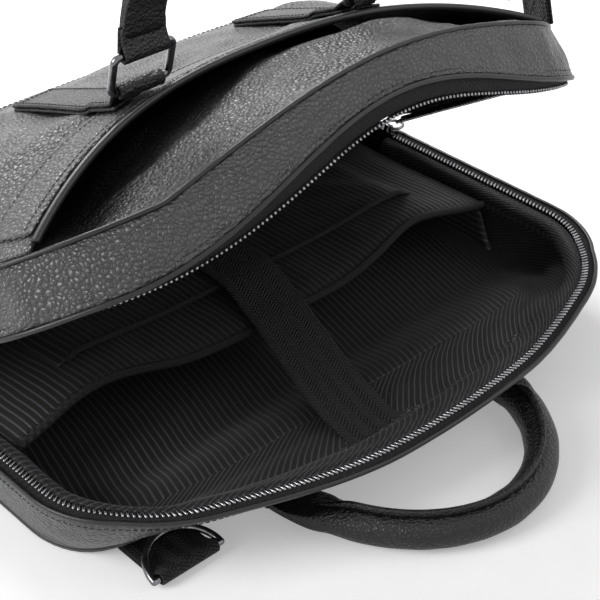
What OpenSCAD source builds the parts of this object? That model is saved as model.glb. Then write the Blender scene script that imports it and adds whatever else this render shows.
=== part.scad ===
// Soft leather laptop briefcase, lying on its back with the laptop compartment open.
// +Z is up, X runs along the width, -Y is the top edge that carries the handles.
// Z = 0 is the outer face of the back panel; X = 0 is the middle of the bag.

/* [Bag size] */
// Width over the leather rim
bag_w = 408; // [340:1:490]
// Height of the rear section, back panel to leather rim
rear_depth = 46; // [38:1:56]
// Straight line of the top edge, from the middle of the back panel
top_y = 146; // [120:1:175]
// How far the top rim bows outward at its middle
bow = 28; // [0:1:36]
// How far the top rim of the tray sags outward
sag_out = 9; // [0:1:12]
// How far the top rim of the tray sags down
sag_down = 10; // [0:1:12]
// Radius of the top corners
corner_r = 60; // [48:1:72]
// Line of the zip ends, where the front section folds back
hinge_y = 65; // [52:1:80]
// Radius of the rounded bottom end about the fold line
round_r = 104; // [86:1:125]

/* [Front section] */
// Angle the front section is opened to
lid_angle = 31; // [24:1:37]
// Depth of the front gusset band
gusset_h = 34; // [28:1:41]
// Depth of the front pocket at its mouth
mouth_h = 51; // [42:1:56]
// Distance of the pocket mouth from the fold line
mouth_y = 165; // [150:1:180]
// How far the middle of the open rim is lifted
rim_lift = 38; // [0:1:45]
// How far it can open beyond the open position
open_more = 8; // [4:1:10]
// Width of the stitched band along the pocket mouth
band_w = 30; // [22:1:36]

/* [Leather and lining] */
// Leather thickness
leather_t = 2.2; // [1.8:0.1:2.6]
// Lining thickness
lining_t = 1.2; // [1:0.1:1.5]
// Foam board in the back panel
foam_t = 4.6; // [3.8:0.1:5.5]
// Free gap between two leather faces that slide past each other
slide_gap = 0.8; // [0.5:0.1:1]

/* [Zip] */
// Radius of the tooth chain
chain_r = 1.2; // [1:0.1:1.5]
// Free gap round the chain inside the slider
chain_gap = 0.6; // [0.5:0.1:0.8]
// Slider length
slider_l = 13; // [11:0.5:16]
// Puller ring, centre line radius
pull_r = 6; // [5:0.5:7.2]

/* [Laptop sleeve] */
// Half width of the sleeve
sleeve_hw = 183; // [180:1:186]
// Clear height of the sleeve above the floor lining
sleeve_h = 27; // [23:1:28]
// Width of all webbing
webbing_w = 38; // [32:1:45]
// Thickness of all webbing
webbing_t = 1.8; // [1.5:0.1:2.2]

/* [Handles] */
// Distance between the two legs of a handle
handle_span = 160; // [130:1:195]
// Reach of a handle from its rings to the top
handle_drop = 103; // [88:1:120]
// Diameter of the padded roll
roll_d = 20; // [17:0.5:23]
// Wire diameter of every ring
wire_d = 4; // [3.4:0.1:4.6]
// Length between the two bars of a handle ring
ring_l = 22; // [19:0.5:26]
// Free width inside a handle ring
ring_w = 32; // [29:0.5:38]
// Radial running clearance of a ring bar in its leather loop
bar_fit = 0.08; // [0.04:0.01:0.1]

/* [Output] */
// Part to show

/* [Hidden] */

half_w = bag_w / 2;
hinge_z = rear_depth + 3.8;
bow_half = half_w - 0.35 * corner_r;
foot_in = 12;
yoke_lift = 16;
yoke_y = 66;
yoke_back = top_y - 25 - corner_r - 4;
wire_r = wire_d / 2;
bore_r = wire_r + bar_fit;
loop_r = bore_r + leather_t;
leg_x = handle_span / 2;
front_y = top_y + hinge_y;
ridge_y = front_y - 3;
corner_n = 7;
edge_n = 15;
side_n = 3;
crown_n = 11;
leather = [0.13, 0.13, 0.14];
lining = [0.2, 0.2, 0.22];
metal = [0.72, 0.72, 0.74];
web = [0.08, 0.08, 0.09];

function clamp01(t) = max(0, min(1, t));
function ease(t) = let (c = clamp01(t)) c * c * (3 - 2 * c);
function mix(a, b, t) = a + (b - a) * t;
function bowed(x, b) = abs(x) < bow_half ? b * (1 - pow(x / bow_half, 2)) : 0;

// Lift of the back panel's front edge above the resting face; its two corners stay low
function rise(x, y) = yoke_lift * ease((-yoke_y - y) / 46) * ease((half_w - 8 - abs(x)) / 62);

// Plan path from the left fold point round the top edge to the right fold point
function front_path(hw, yf, r, b, yh = hinge_y) = concat(
    [for (k = [0:side_n - 1]) [-hw, mix(yh, yf + r, k / side_n)]],
    [for (k = [0:corner_n]) let (a = 180 + 90 * k / corner_n, x = -hw + r + r * cos(a))
        [x, yf + r + r * sin(a) - bowed(x, b)]],
    [for (k = [1:edge_n - 1]) let (x = mix(-hw + r, hw - r, k / edge_n)) [x, yf - bowed(x, b)]],
    [for (k = [0:corner_n]) let (a = 270 + 90 * k / corner_n, x = hw - r + r * cos(a))
        [x, yf + r + r * sin(a) - bowed(x, b)]],
    [for (k = [side_n - 1:-1:0]) [hw, mix(yh, yf + r, k / side_n)]]
);

// Crown of the rounded bottom end: width fraction and height fraction per column
function crown_a(k) = 90 * pow(k / crown_n, 1.5);
function crown_u(k) = pow(sin(crown_a(k)), 0.4);
function crown_v(k) = pow(cos(crown_a(k)), 0.8);
crown_cols = concat([for (k = [crown_n:-1:1]) -k], [0], [for (k = [1:crown_n]) k]);
function col_u(k) = (k < 0 ? -1 : 1) * crown_u(abs(k));
function crown_r(k, r) = gusset_h + (r - gusset_h) * crown_v(abs(k));
// Half profile points [x, radius] from the left side over the crown to the right side
function profile(hw, r) = concat(
    [[-hw, 8], [-hw, 21]],
    [for (k = crown_cols) [hw * col_u(k), crown_r(k, r)]],
    [[hw, 21], [hw, 8]]
);
function back_path(hw, r) = let (p = profile(hw, r), n = len(p))
    [for (k = [n - 1:-1:0]) [p[k].x, hinge_y + p[k].y]];

// Rear wall: q runs from the panel seam (0) to the leather rim (1), d is the inset
function q_hw(q) = half_w - foot_in * pow(1 - q, 1.5);
function q_y(q) = -top_y + 25 * pow(1 - q, 1.2);
function q_r(q) = round_r - 8 * pow(1 - q, 1.5);
// The rim of the tray sags between its corners, most to the right of the middle
function sag(x, y) = ease((x + half_w - 14) / 160) * (1 - 0.85 * ease((x - 70) / 120))
    * ease((-80 - y) / 60);
function wall_front(q, d, yh = hinge_y) =
    [for (p = front_path(q_hw(q) - d, q_y(q) + d, corner_r - d, bow * q, yh))
    [p.x, p.y - sag_out * q * q * sag(p.x, p.y)]];
function wall_loop(q, d) = concat(wall_front(q, d), back_path(q_hw(q) - d, q_r(q) - d));
function wall_z(p, q) = mix(rise(p.x, p.y) + 1, rear_depth - sag_down * sag(p.x, p.y), q);
function loop_rail(q, d, dz = 0) = [for (p = wall_loop(q, d)) [p.x, p.y, wall_z(p, q) + dz]];
function front_rail(q, d, dz = 0, yh = hinge_y) =
    [for (p = wall_front(q, d, yh)) [p.x, p.y, wall_z(p, q) + dz]];

// Front section in its own closed frame: Y back from the fold line, Z up from it
function rim_up(x, y) = rim_lift * pow(cos(90 * clamp01(abs(x - 20) / 175)), 2)
    * pow(clamp01(-y / 242), 1.5);
function seam_up(x, y) = 0.68 * rim_lift * cos(90 * clamp01(abs(x - 25) / 150)) * clamp01(-y / 235);
function lid_path(d, inset = 0, yh = 0) = [for (p = front_path(half_w - inset - d, -top_y + inset + d,
    corner_r - d, bow, hinge_y + yh)) [p.x, p.y - hinge_y]];
// The side near the fold line is drawn in so it slips inside the rounded end
function drawn(x, y) = x - (x < 0 ? -1 : 1) * 3.2 * (1 - clamp01((-y - 6) / 60))
    * (abs(x) > half_w - 12 ? 1 : 0);
function rim_rail(d, z, yh = 0) =
    [for (p = lid_path(d, 0, yh)) [drawn(p.x, p.y), p.y, z + rim_up(p.x, p.y)]];
function seam_rail(d, z, yh = 0) = [for (p = lid_path(d, 3, yh)) [drawn(p.x, p.y), p.y,
    z + seam_up(p.x, p.y)]];
function mid_rail(a, b, t) = [for (k = [0:len(a) - 1]) a[k] * (1 - t) + b[k] * t];

// Front edge and half width of the front seam line
function seam_front(x, i = 0) = let (hw = half_w - 3 - i, r = corner_r - i, e = abs(x) - (hw - r))
    -ridge_y + i + (e > 0 ? r - sqrt(max(0, r * r - e * e)) : 0) - bowed(x, bow);
function seam_half(y) = let (e = -ridge_y + corner_r - y)
    half_w - 3 - (e > 0 ? corner_r - sqrt(max(0, corner_r * corner_r - e * e)) : 0);

// Pocket panel surface: t from the mouth (0) to the fold line (1), k the column
mouth_end = mouth_y + 26;
function pocket_y(u, t) = mix(-mouth_y - (mouth_end - mouth_y) * u * u, 0, t);
function pocket_hw(t) = mix(seam_half(-mouth_end) - 1, half_w - 0.6, pow(t, 0.45));
function pocket_shape(u, t) = pow(1 - pow(abs(u), mix(2.5, 5, ease(t))), mix(1, 0.4, ease(t)));
function pocket_z(u, t) = gusset_h + 3.6
    + mix(mouth_h - 3, round_r - gusset_h - 3.6, ease(t)) * pocket_shape(u, t);
function pocket_pt(k, t, d) = let (u = col_u(k)) [u * (pocket_hw(t) - d), pocket_y(u, t),
    pocket_z(u, t) - d * (0.6 + 0.4 * (1 - abs(u)))];

// Main panel under the pocket
function panel_z(x, v) = gusset_h + 1.7 + mix(seam_up(x, -235),
    42.5 * pow(cos(90 * clamp01(abs(x - 22) / 168)), 1.1), ease(v / 0.42));
function panel_pt(u, v, d) = let (x = (half_w - 6.2) * u, y = mix(seam_front(x, 3.2), -60, v))
    [drawn(x, y), y, panel_z(x, v) - d];

module on_lid() {
    translate([0, hinge_y, hinge_z])
    rotate([-lid_angle, 0, 0])
    children();
}

// Closed solid between two grids of points
module slab(top, bot) {
    m = len(top);
    n = len(top[0]);
    o = m * n;
    pts = concat([for (r = top) each r], [for (r = bot) each r]);
    up = [for (i = [0:m - 2], j = [0:n - 2]) each [
        [i * n + j, (i + 1) * n + j + 1, i * n + j + 1],
        [i * n + j, (i + 1) * n + j, (i + 1) * n + j + 1]]];
    down = [for (f = up) [f[0] + o, f[2] + o, f[1] + o]];
    first = [for (j = [0:n - 2]) each [[j, j + 1, o + j + 1], [j, o + j + 1, o + j]]];
    e = (m - 1) * n;
    last = [for (j = [0:n - 2]) each
        [[e + j, o + e + j + 1, e + j + 1], [e + j, o + e + j, o + e + j + 1]]];
    left = [for (i = [0:m - 2]) each [
        [i * n, o + (i + 1) * n, (i + 1) * n],
        [i * n, o + i * n, o + (i + 1) * n]]];
    g = n - 1;
    right = [for (i = [0:m - 2]) each [
        [i * n + g, (i + 1) * n + g, o + (i + 1) * n + g],
        [i * n + g, o + (i + 1) * n + g, o + i * n + g]]];
    polyhedron(points = pts, faces = concat(up, down, first, last, left, right), convexity = 10);
}

// Closed solid from rails that run side by side round a section
module rails(r, closed = false) {
    k = len(r);
    n = len(r[0]);
    pts = [for (i = [0:n - 1], j = [0:k - 1]) r[j][i]];
    side = [for (i = [0:n - (closed ? 1 : 2)], j = [0:k - 1])
        let (a = i * k, b = ((i + 1) % n) * k, c = (j + 1) % k)
        each [[a + j, a + c, b + c], [a + j, b + c, b + j]]];
    cap_a = [for (j = [1:k - 2]) [0, j + 1, j]];
    z = (n - 1) * k;
    cap_b = [for (j = [1:k - 2]) [z, z + j, z + j + 1]];
    polyhedron(points = pts, faces = closed ? side : concat(side, cap_a, cap_b), convexity = 10);
}

// Round bead of m sides along a line of points, lying mostly in plan
module bead(line, r, m = 6) {
    n = len(line);
    function dir(i) = let (v = line[min(n - 1, i + 1)] - line[max(0, i - 1)]) v / norm(v);
    function side_of(i) = let (s = cross([0, 0, 1], dir(i))) s / norm(s);
    rails([for (a = [0:m - 1]) [for (i = [0:n - 1]) let (s = side_of(i), u = cross(dir(i), s))
        line[i] + r * cos(360 * a / m) * s - r * sin(360 * a / m) * u]]);
}

module rect_ring(w, l, r, corner) {
    for (s = [-1, 1]) {
        translate([-w / 2 + corner, s * l / 2, 0])
        rotate([0, 90, 0])
        cylinder(h = w - 2 * corner, r = r, $fn = 24);
        translate([s * w / 2, -l / 2 + corner, 0])
        rotate([-90, 0, 0])
        cylinder(h = l - 2 * corner, r = r, $fn = 24);
        for (t = [-1, 1]) {
            translate([s * (w / 2 - corner), t * (l / 2 - corner), 0])
            rotate([0, 0, s > 0 ? (t > 0 ? 0 : 270) : (t > 0 ? 90 : 180)])
            rotate_extrude(angle = 90, $fn = 32)
            translate([corner, 0])
            circle(r = r, $fn = 24);
        }
    }
}

// Leather loop round a ring bar that lies along X
module bar_loop(w, tail) {
    difference() {
        union() {
            rotate([0, 90, 0])
            cylinder(h = w, r = loop_r, center = true, $fn = 40);
            translate([-w / 2, 0, -loop_r])
            cube([w, tail, 2 * leather_t]);
        }
        rotate([0, 90, 0])
        cylinder(h = w + 2, r = bore_r, center = true, $fn = 40);
    }
}

module rear_panel() {
    color(leather)
    linear_extrude(height = leather_t)
    polygon(concat([[-q_hw(0), -yoke_back + 0.3], [q_hw(0), -yoke_back + 0.3]],
        back_path(q_hw(0), q_r(0))));
}

function yoke_edge(x, hw, yf, r) = let (e = abs(x) - (hw - r))
    yf + (e > 0 ? r - sqrt(max(0, r * r - e * e)) : 0);

module apron(hw, yf, r, z0, z1, yb, rows = 8) {
    function pt(k, i, z) = let (x = hw * col_u(k), y = mix(yoke_edge(x, hw, yf, r), yb, i / rows))
        [x, y, rise(x, y) + z];
    slab([for (i = [0:rows]) [for (k = crown_cols) pt(k, i, z1)]],
        [for (i = [0:rows]) [for (k = crown_cols) pt(k, i, z0)]]);
}

module rear_yoke() {
    color(leather)
    apron(q_hw(0), q_y(0), corner_r, 0, leather_t, -yoke_back);
}

module rear_foam() {
    color([0.35, 0.35, 0.36])
    translate([0, 0, leather_t + 0.3])
    linear_extrude(height = foam_t)
    polygon(concat([[-q_hw(0) + 5, -yoke_y + 4], [q_hw(0) - 5, -yoke_y + 4]],
        back_path(q_hw(0) - 5, q_r(0) - 5)));
}

module rear_wall() {
    q = [0.02, 0.3, 0.65, 1];
    color(leather)
    rails(concat([for (k = [0:3]) loop_rail(q[k], 0, k == 0 ? leather_t - 0.5 : 0)],
        [for (k = [3:-1:0]) loop_rail(q[k], leather_t, k == 0 ? leather_t - 0.5 : 0)]), true);
}

module rear_piping() {
    color(leather)
    rails([for (a = [0:5]) loop_rail(1, 0.6 - 1.6 * cos(60 * a), 1.8 + 1.5 * sin(60 * a))], true);
}

module rear_tape() {
    color(web)
    rails([front_rail(1, 2.5, 2), front_rail(1, 6.5, 2.2), front_rail(1, 6.5, 1.4),
        front_rail(1, 2.5, 1.2)]);
}

module rear_chain() {
    color(metal)
    rails([for (a = [0:5])
        front_rail(1, 7.9 - chain_r * cos(60 * a), 2.2 + chain_r * sin(60 * a), hinge_y)]);
}

floor_z = leather_t + 0.3 + foam_t + 0.3;

module floor_lining() {
    hw = half_w - 17;
    function pt(k, i, z) = let (x = hw * col_u(k), ya = yoke_edge(x, hw, -top_y + 29, corner_r - 5),
        yb = hinge_y + crown_r(k, round_r - 13), y = i < 8 ? mix(ya, -60, i / 7) : yb)
        [x, y, rise(x, y) + z];
    color(lining)
    slab([for (i = [0:8]) [for (k = crown_cols) pt(k, i, floor_z + lining_t)]],
        [for (i = [0:8]) [for (k = crown_cols) pt(k, i, floor_z)]]);
}

wall_gap = 2;

module wall_lining() {
    q = [0.24, 0.3, 0.65, 1];
    function inset(k) = leather_t + wall_gap + (k == 3 ? 0.4 : 0);
    color(lining)
    rails(concat([for (k = [0:3]) loop_rail(q[k], inset(k), k == 3 ? 0.3 : 0)],
        [for (k = [3:-1:0]) loop_rail(q[k], inset(k) + lining_t, k == 3 ? 0.3 : 0)]), true);
}

// The roll rests against the lined wall, whose lean follows the depth and the bow
roll_r = 4.5;
roll_z = rear_depth - 4.4;
roll_seat = roll_r * cos(22.5) + 0.25;
function lean_pt(q) = [q_y(q) + leather_t + wall_gap + lining_t - bow * q, mix(yoke_lift + 1, rear_depth, q)];
lean_v = (lean_pt(0.8) - lean_pt(0.5)) / norm(lean_pt(0.8) - lean_pt(0.5));
roll_y = lean_pt(0.5).x + (roll_seat + (roll_z - lean_pt(0.5).y) * lean_v.x) / lean_v.y;
roll_in = roll_y - q_y(0.86) + bow * 0.86;
function roll_rail(a) = [for (p = wall_front(0.86, roll_in - roll_r * cos(a), hinge_y - 4))
    [p.x, p.y + 0.14 * sag_out * sag(p.x, p.y),
    roll_z - 0.65 * sag_down * sag(p.x, p.y) + roll_r * sin(a)]];

module rim_roll() {
    color(lining)
    rails([for (a = [0:7]) roll_rail(45 * a)]);
}

// Shell about the fold line between two angles; d is the inset from the outer skin
module fan(d, t, a0, a1, steps, skirt = 0) {
    function grid(e) = [for (i = [0:steps + (skirt > 0 ? 1 : 0)]) let (a = mix(a0, a1, min(1, i / steps)))
        [for (p = profile(half_w - e, round_r - e))
            [p.x, p.y * sin(a), p.y * cos(a) - (i > steps ? skirt : 0)]]];
    slab(grid(d), grid(d + t));
}

module base_shell() {
    color(leather)
    translate([0, hinge_y, hinge_z])
    fan(0, leather_t, lid_angle + open_more + 1, 90, 9);
}

module base_lining() {
    color(lining)
    translate([0, hinge_y, hinge_z])
    fan(2 * (leather_t + slide_gap) - 0.4, lining_t, lid_angle + open_more + 1, 90, 9, 3.2);
}

module fold_leather() {
    color(leather)
    on_lid()
    fan(leather_t + slide_gap, leather_t - 0.4, -3, lid_angle + open_more + 3, 8);
}

// Sleeve panel top surface
function puff(x) = exp(-pow((abs(x) - 125) / 45, 2));
function sleeve_top(x, y) = floor_z + lining_t + sleeve_h + 4.6
    + 3.4 * (1 - pow(abs(x) / sleeve_hw, 4)) + 8 * puff(x) * (1 - ease((y + 46) / 90));
function sleeve_mouth(x) = -46 + 12 * puff(x) * 1.05 + 4 * pow(abs(x) / sleeve_hw, 6);
sleeve_n = 20;
sleeve_back = hinge_y + round_r - 21;
function sleeve_x(j) = sleeve_hw * mix(-1, 1, j / sleeve_n);

module sleeve_panel() {
    function pt(j, i, d) = let (x = sleeve_x(j), yb = sleeve_back - 40 * pow(abs(x) / sleeve_hw, 6),
        y = mix(sleeve_mouth(x), yb, pow(i / 7, 1.3)))
        [x, y, sleeve_top(x, y) - d];
    color(lining)
    slab([for (i = [0:7]) [for (j = [0:sleeve_n]) pt(j, i, 0)]],
        [for (i = [0:7]) [for (j = [0:sleeve_n]) pt(j, i, 4)]]);
}

module sleeve_binding() {
    color(web)
    bead([for (j = [0:sleeve_n]) let (x = sleeve_x(j))
        [x, sleeve_mouth(x) - 2.4, sleeve_top(x, sleeve_mouth(x)) - 2]], 2.2);
}

module sleeve_gussets() {
    color(lining)
    for (s = [-1, 1]) {
        x0 = s * (sleeve_hw - 1.5);
        x1 = s * (sleeve_hw - 0.2);
        z0 = floor_z + lining_t + 0.3;
        z1 = sleeve_top(sleeve_hw, 100) - 4.3;
        translate([min(x0, x1), 0, 0])
        rotate([90, 0, 90])
        linear_extrude(height = abs(x1 - x0))
        polygon([[-52, z0], [100, z0], [100, z1], [-38, z1]]);
    }
}

slip_l = -132;
slip_r = 150;
slip_m = -8;
slip_n = 14;

module slip_pocket() {
    function edge(i, j) = i == 8 || j == 0 || j == slip_n;
    function pt(j, i, d) = let (x = mix(slip_l, slip_r, j / slip_n),
        y = mix(slip_m, sleeve_back - 16, i / 8))
        [x, y, sleeve_top(x, y) + (edge(i, j) ? 1.7 : 6.6) - (d > 0 ? (edge(i, j) ? 1.4 : lining_t) : 0)];
    color(lining)
    slab([for (i = [0:8]) [for (j = [0:slip_n]) pt(j, i, 0)]],
        [for (i = [0:8]) [for (j = [0:slip_n]) pt(j, i, 1)]]);
}

module slip_binding() {
    color(web)
    bead([for (j = [1:slip_n - 1]) let (x = mix(slip_l, slip_r, j / slip_n))
        [x, slip_m - 1.9, sleeve_top(x, slip_m) + 6]], 1.6);
}

strap_root_y = -146;
strap_root_z = 29;
function strap_x(y) = mix(-24, 4, ease((y - strap_root_y) / 150));
strap_hi = sleeve_top(0, slip_m) + 9.4;
function strap_z(y) = y < -48
    ? mix(strap_root_z, sleeve_top(0, -46) + 2.6, pow((y - strap_root_y) / (-48 - strap_root_y), 0.9))
    : mix(sleeve_top(0, -46) + 2.6, strap_hi, ease((y + 48) / 36));

module loop_patch() {
    function pt(i, j, d) = let (y = mix(4, 38, i / 4), x = strap_x(y) + mix(-16, 16, j / 4))
        [x, y, sleeve_top(x, y) + d];
    color(web)
    slab([for (i = [0:4]) [for (j = [0:4]) pt(i, j, 7.8)]], [for (i = [0:4]) [for (j = [0:4]) pt(i, j, 6.9)]]);
}

module hook_patch() {
    color(web)
    slab([for (i = [0:4]) let (y = mix(4, 38, i / 4))
            [for (j = [0:4]) [strap_x(y) + mix(-16, 16, j / 4), y, strap_hi - 0.2]]],
        [for (i = [0:4]) let (y = mix(4, 38, i / 4))
            [for (j = [0:4]) [strap_x(y) + mix(-16, 16, j / 4), y, strap_hi - 1]]]);
}

module laptop_strap() {
    n = 18;
    function pt(i, s, d) = let (y = mix(strap_root_y, 42, i / n))
        [strap_x(y) + s * webbing_w / 2, y, strap_z(y) + d];
    color(web)
    slab([for (i = [0:n]) [pt(i, -1, webbing_t), pt(i, 1, webbing_t)]],
        [for (i = [0:n]) [pt(i, -1, 0), pt(i, 1, 0)]]);
}

chain_x = half_w - 7.9;
chain_z = rear_depth + 2.2;

// Slider straddling the rear chain; the chain runs along Y
module slider_body() {
    hy = slider_l / 2;
    zi = chain_z - 0.6;
    zt = chain_z + chain_r + chain_gap;
    for (s = [-1, 1]) {
        translate([s > 0 ? chain_r + chain_gap : -chain_r - chain_gap - 1.4, -hy, s > 0 ? chain_z + 0.9 : zi])
        cube([1.4, slider_l, zt + 1.4 - (s > 0 ? chain_z + 0.9 : zi)]);
    }
    translate([-chain_r - chain_gap - 1.4, -hy, zt])
    cube([2 * (chain_r + chain_gap + 1.4), slider_l, 1.4]);
    // Bail that carries the puller ring
    difference() {
        translate([0, 0, zt + 1.8])
        rotate([90, 0, 0])
        cylinder(h = 3.2, r = 3.4, center = true, $fn = 32);
        translate([0, 0, zt + 2.8])
        rotate([90, 0, 0])
        cylinder(h = 6, r = 1.5, center = true, $fn = 32);
        translate([-4, -4, zt - 4])
        cube([8, 8, 4]);
    }
}

module slider_left() {
    color(metal)
    translate([-chain_x, hinge_y - slider_l / 2, 0])
    mirror([1, 0, 0])
    slider_body();
}

module slider_right() {
    color(metal)
    translate([chain_x, hinge_y - slider_l / 2, 0])
    slider_body();
}

// Ring threaded through the bail, lying outward
module pull_ring() {
    translate([pull_r, 0, chain_z + chain_r + chain_gap + 2.8])
    rotate_extrude($fn = 48)
    translate([pull_r, 0])
    circle(r = 1, $fn = 20);
}

module pull_left() {
    color(metal)
    translate([-chain_x, hinge_y - slider_l / 2, 0])
    mirror([1, 0, 0])
    pull_ring();
}

module pull_right() {
    color(metal)
    translate([chain_x, hinge_y - slider_l / 2, 0])
    pull_ring();
}

module zip_stops() {
    color(metal)
    for (s = [-1, 1]) {
        translate([s * chain_x - 2, hinge_y + 0.3, chain_z - 1])
        cube([4, 3, 2]);
    }
}

module front_gusset() {
    a = rim_rail(0, 4.4, -7);
    c = seam_rail(0, gusset_h - 0.6, -7);
    ai = rim_rail(leather_t, 4.4, -7);
    ci = seam_rail(leather_t, gusset_h - 0.6, -7);
    b = [for (k = [0:len(a) - 1]) (a[k] + c[k]) / 2 + (a[k] - ai[k]) * 0.35];
    bi = [for (k = [0:len(a) - 1]) (ai[k] + ci[k]) / 2 + (a[k] - ai[k]) * 0.35];
    color(leather)
    on_lid()
    rails([a, b, c, ci, bi, ai]);
}

module front_rim_piping() {
    color(leather)
    on_lid()
    rails([for (a = [0:5]) rim_rail(0.8 + 1.5 * cos(60 * a), 2.6 - 1.5 * sin(60 * a), -19)]);
}

module front_seam_piping() {
    color(leather)
    on_lid()
    rails([for (a = [0:5]) seam_rail(0.9 + cos(60 * a), gusset_h + 0.7 - sin(60 * a), -10)]);
}

module front_tape() {
    color(web)
    on_lid()
    rails([rim_rail(2.6, 2.8, -20), rim_rail(6.5, 2.4, -20), rim_rail(6.5, 1.6, -20),
        rim_rail(2.6, 2, -20)]);
}

module front_chain() {
    color(metal)
    on_lid()
    rails([for (a = [0:5]) rim_rail(7.9 + chain_r * cos(60 * a), 1.6 - chain_r * sin(60 * a), -21)]);
}

ceiling_z = gusset_h - 10;
function ceil_up(x, y) = 0.62 * rim_up(x, y);

function lining_rail(d) = [for (p = lid_path(d, 2.1, -14))
    [drawn(p.x, p.y), p.y, ceiling_z - 0.4 + ceil_up(p.x, p.y)]];

module front_gusset_lining() {
    color(lining)
    on_lid()
    rails([rim_rail(leather_t + 0.7, 5.4, -14), lining_rail(leather_t + 0.7),
        lining_rail(leather_t + 0.7 + lining_t), rim_rail(leather_t + 0.7 + lining_t, 5.4, -14)]);
}

module front_ceiling() {
    hw = half_w - 8.2;
    r = corner_r - 9;
    function pt(k, i, z) = let (x = hw * col_u(k), e = abs(x) - (hw - r),
        yf = -front_y + 8.4 + (e > 0 ? r - sqrt(max(0, r * r - e * e)) : 0) - bowed(x, bow),
        y = mix(yf, -16, i / 6)) [x, y, z + ceil_up(x, y)];
    color(lining)
    on_lid()
    slab([for (i = [0:6]) [for (k = crown_cols) pt(k, i, ceiling_z + 3.4)]],
        [for (i = [0:6]) [for (k = crown_cols) pt(k, i, ceiling_z)]]);
}

module front_panel() {
    n = 22;
    m = 9;
    function uu(j) = sin(90 * mix(-1, 1, j / n));
    color(leather)
    on_lid()
    slab([for (i = [0:m]) [for (j = [0:n]) panel_pt(uu(j), i / m, 0)]],
        [for (i = [0:m]) [for (j = [0:n]) panel_pt(uu(j), i / m, 2)]]);
}

module pocket_panel() {
    m = 10;
    color(leather)
    on_lid()
    slab([for (i = [0:m]) [for (k = crown_cols) pocket_pt(k, i / m, 0)]],
        [for (i = [0:m]) [for (k = crown_cols) pocket_pt(k, i / m, leather_t)]]);
}

module pocket_band() {
    n = 24;
    m = 3;
    function pt(j, i, d) = let (u = 0.93 * mix(-1, 1, j / n), t = (2 + (band_w - 2) * i / m) / mouth_y)
        [u * pocket_hw(t), pocket_y(u, t), pocket_z(u, t) + d];
    color(leather)
    on_lid()
    slab([for (i = [0:m]) [for (j = [0:n]) pt(j, i, 1.9)]],
        [for (i = [0:m]) [for (j = [0:n]) pt(j, i, 0.5)]]);
}

module pocket_binding() {
    n = 26;
    color(leather)
    on_lid()
    bead([for (j = [0:n]) let (u = 0.97 * sin(90 * mix(-1, 1, j / n)))
        [u * pocket_hw(0), pocket_y(u, 0) - 2.3, pocket_z(u, 0) - 0.8]], 1.7);
}

// Handle hardware in its own frame: ring bar A on the X axis, the ring reaching toward -Y
module handle_ring() {
    translate([0, -ring_l / 2, 0])
    rect_ring(ring_w + wire_d, ring_l, wire_r, 3.6);
}

loop_w = 26;

module handle_ends() {
    for (s = [-1, 1]) {
        translate([s * leg_x, 0, 0])
        rotate([180, 0, 0])
        translate([0, 0, 0])
        bar_loop(loop_w, 9);
    }
}

// Centre line of the grip in the handle plane, measured from ring bar B
function grip_pt(t, rise_z) = [leg_x * cos(180 * t), -9.6 - (handle_drop - 9.6) * sin(180 * t),
    rise_z * ease(sin(180 * t) / 0.45)];
function grip_dir(t, z) = let (v = grip_pt(t + 0.01, z) - grip_pt(t - 0.01, z)) v / norm(v);
function grip_side(t) = let (v = grip_dir(t, 0), s = [v.y, -v.x, 0]) s / norm(s);
function grip_fill(t) = ease((sin(180 * clamp01(t)) - 0.12) / 0.4);

module handle_grip(rise_z, first_z) {
    n = 34;
    m = 12;
    function sec(i, a) = let (t = i / n, f = grip_fill(t), s = grip_side(max(0.002, min(0.998, t))),
        w = mix(13, roll_d / 2, f), h = mix(3, roll_d / 2, f))
        grip_pt(t, rise_z) + [0, 0, first_z] + w * cos(a) * s + [0, 0, h * sin(a)];
    rails([for (j = [0:m - 1]) [for (i = [0:n]) sec(i, 360 * j / m)]]);
}

// Stitched seam allowance standing off one face of the roll
function welt_up(t) = mix(0.5, 4.2, ease((0.41 - abs(t - 0.5)) / 0.08));

module handle_welt(rise_z, first_z, face) {
    n = 26;
    function sec(i, up, w) = let (t = mix(0.09, 0.91, i / n), h = mix(3, roll_d / 2, grip_fill(t)))
        grip_pt(t, rise_z) + w * grip_side(t) + [0, 0, first_z + face * (h + 0.35 + up * welt_up(t))];
    w = 1.3 * face;
    rails([for (c = [[0, -w], [0, w], [1, w], [1, -w]]) [for (i = [0:n]) sec(i, c[0], c[1])]]);
}

// Rear handle lies on the surface the bag lies on
rear_bar_y = -103;
rear_bar_z = loop_r + 1.9;
rear_b_y = rear_bar_y - ring_l;
rear_lift = roll_d / 2 + 0.4 - rear_bar_z;

module rear_tabs() {
    function pt(sx, i, z) = let (y = mix(-82, rear_bar_y + loop_r + 0.3, i / 5)) [sx, y, rise(sx, y) + z];
    color(leather)
    for (s = [-1, 1]) {
        x0 = s * leg_x - 13;
        x1 = s * leg_x + 13;
        slab([for (i = [0:5]) [pt(x1, i, -0.3), pt(x0, i, -0.3)]],
            [for (i = [0:5]) [pt(x1, i, -0.3 - leather_t), pt(x0, i, -0.3 - leather_t)]]);
    }
}

module rear_tab_loops() {
    color(leather)
    for (s = [-1, 1]) {
        translate([s * leg_x, rear_bar_y, rear_bar_z])
        mirror([0, 0, 1])
        bar_loop(loop_w, loop_r);
    }
}

module rear_ring_left() {
    color(metal)
    translate([-leg_x, rear_bar_y, rear_bar_z])
    handle_ring();
}

module rear_ring_right() {
    color(metal)
    translate([leg_x, rear_bar_y, rear_bar_z])
    handle_ring();
}

module rear_handle_ends() {
    color(leather)
    translate([0, rear_b_y, rear_bar_z])
    handle_ends();
}

module rear_handle_grip() {
    color(leather)
    translate([0, rear_b_y, rear_bar_z])
    handle_grip(rear_lift - 2, 2);
}

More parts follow.
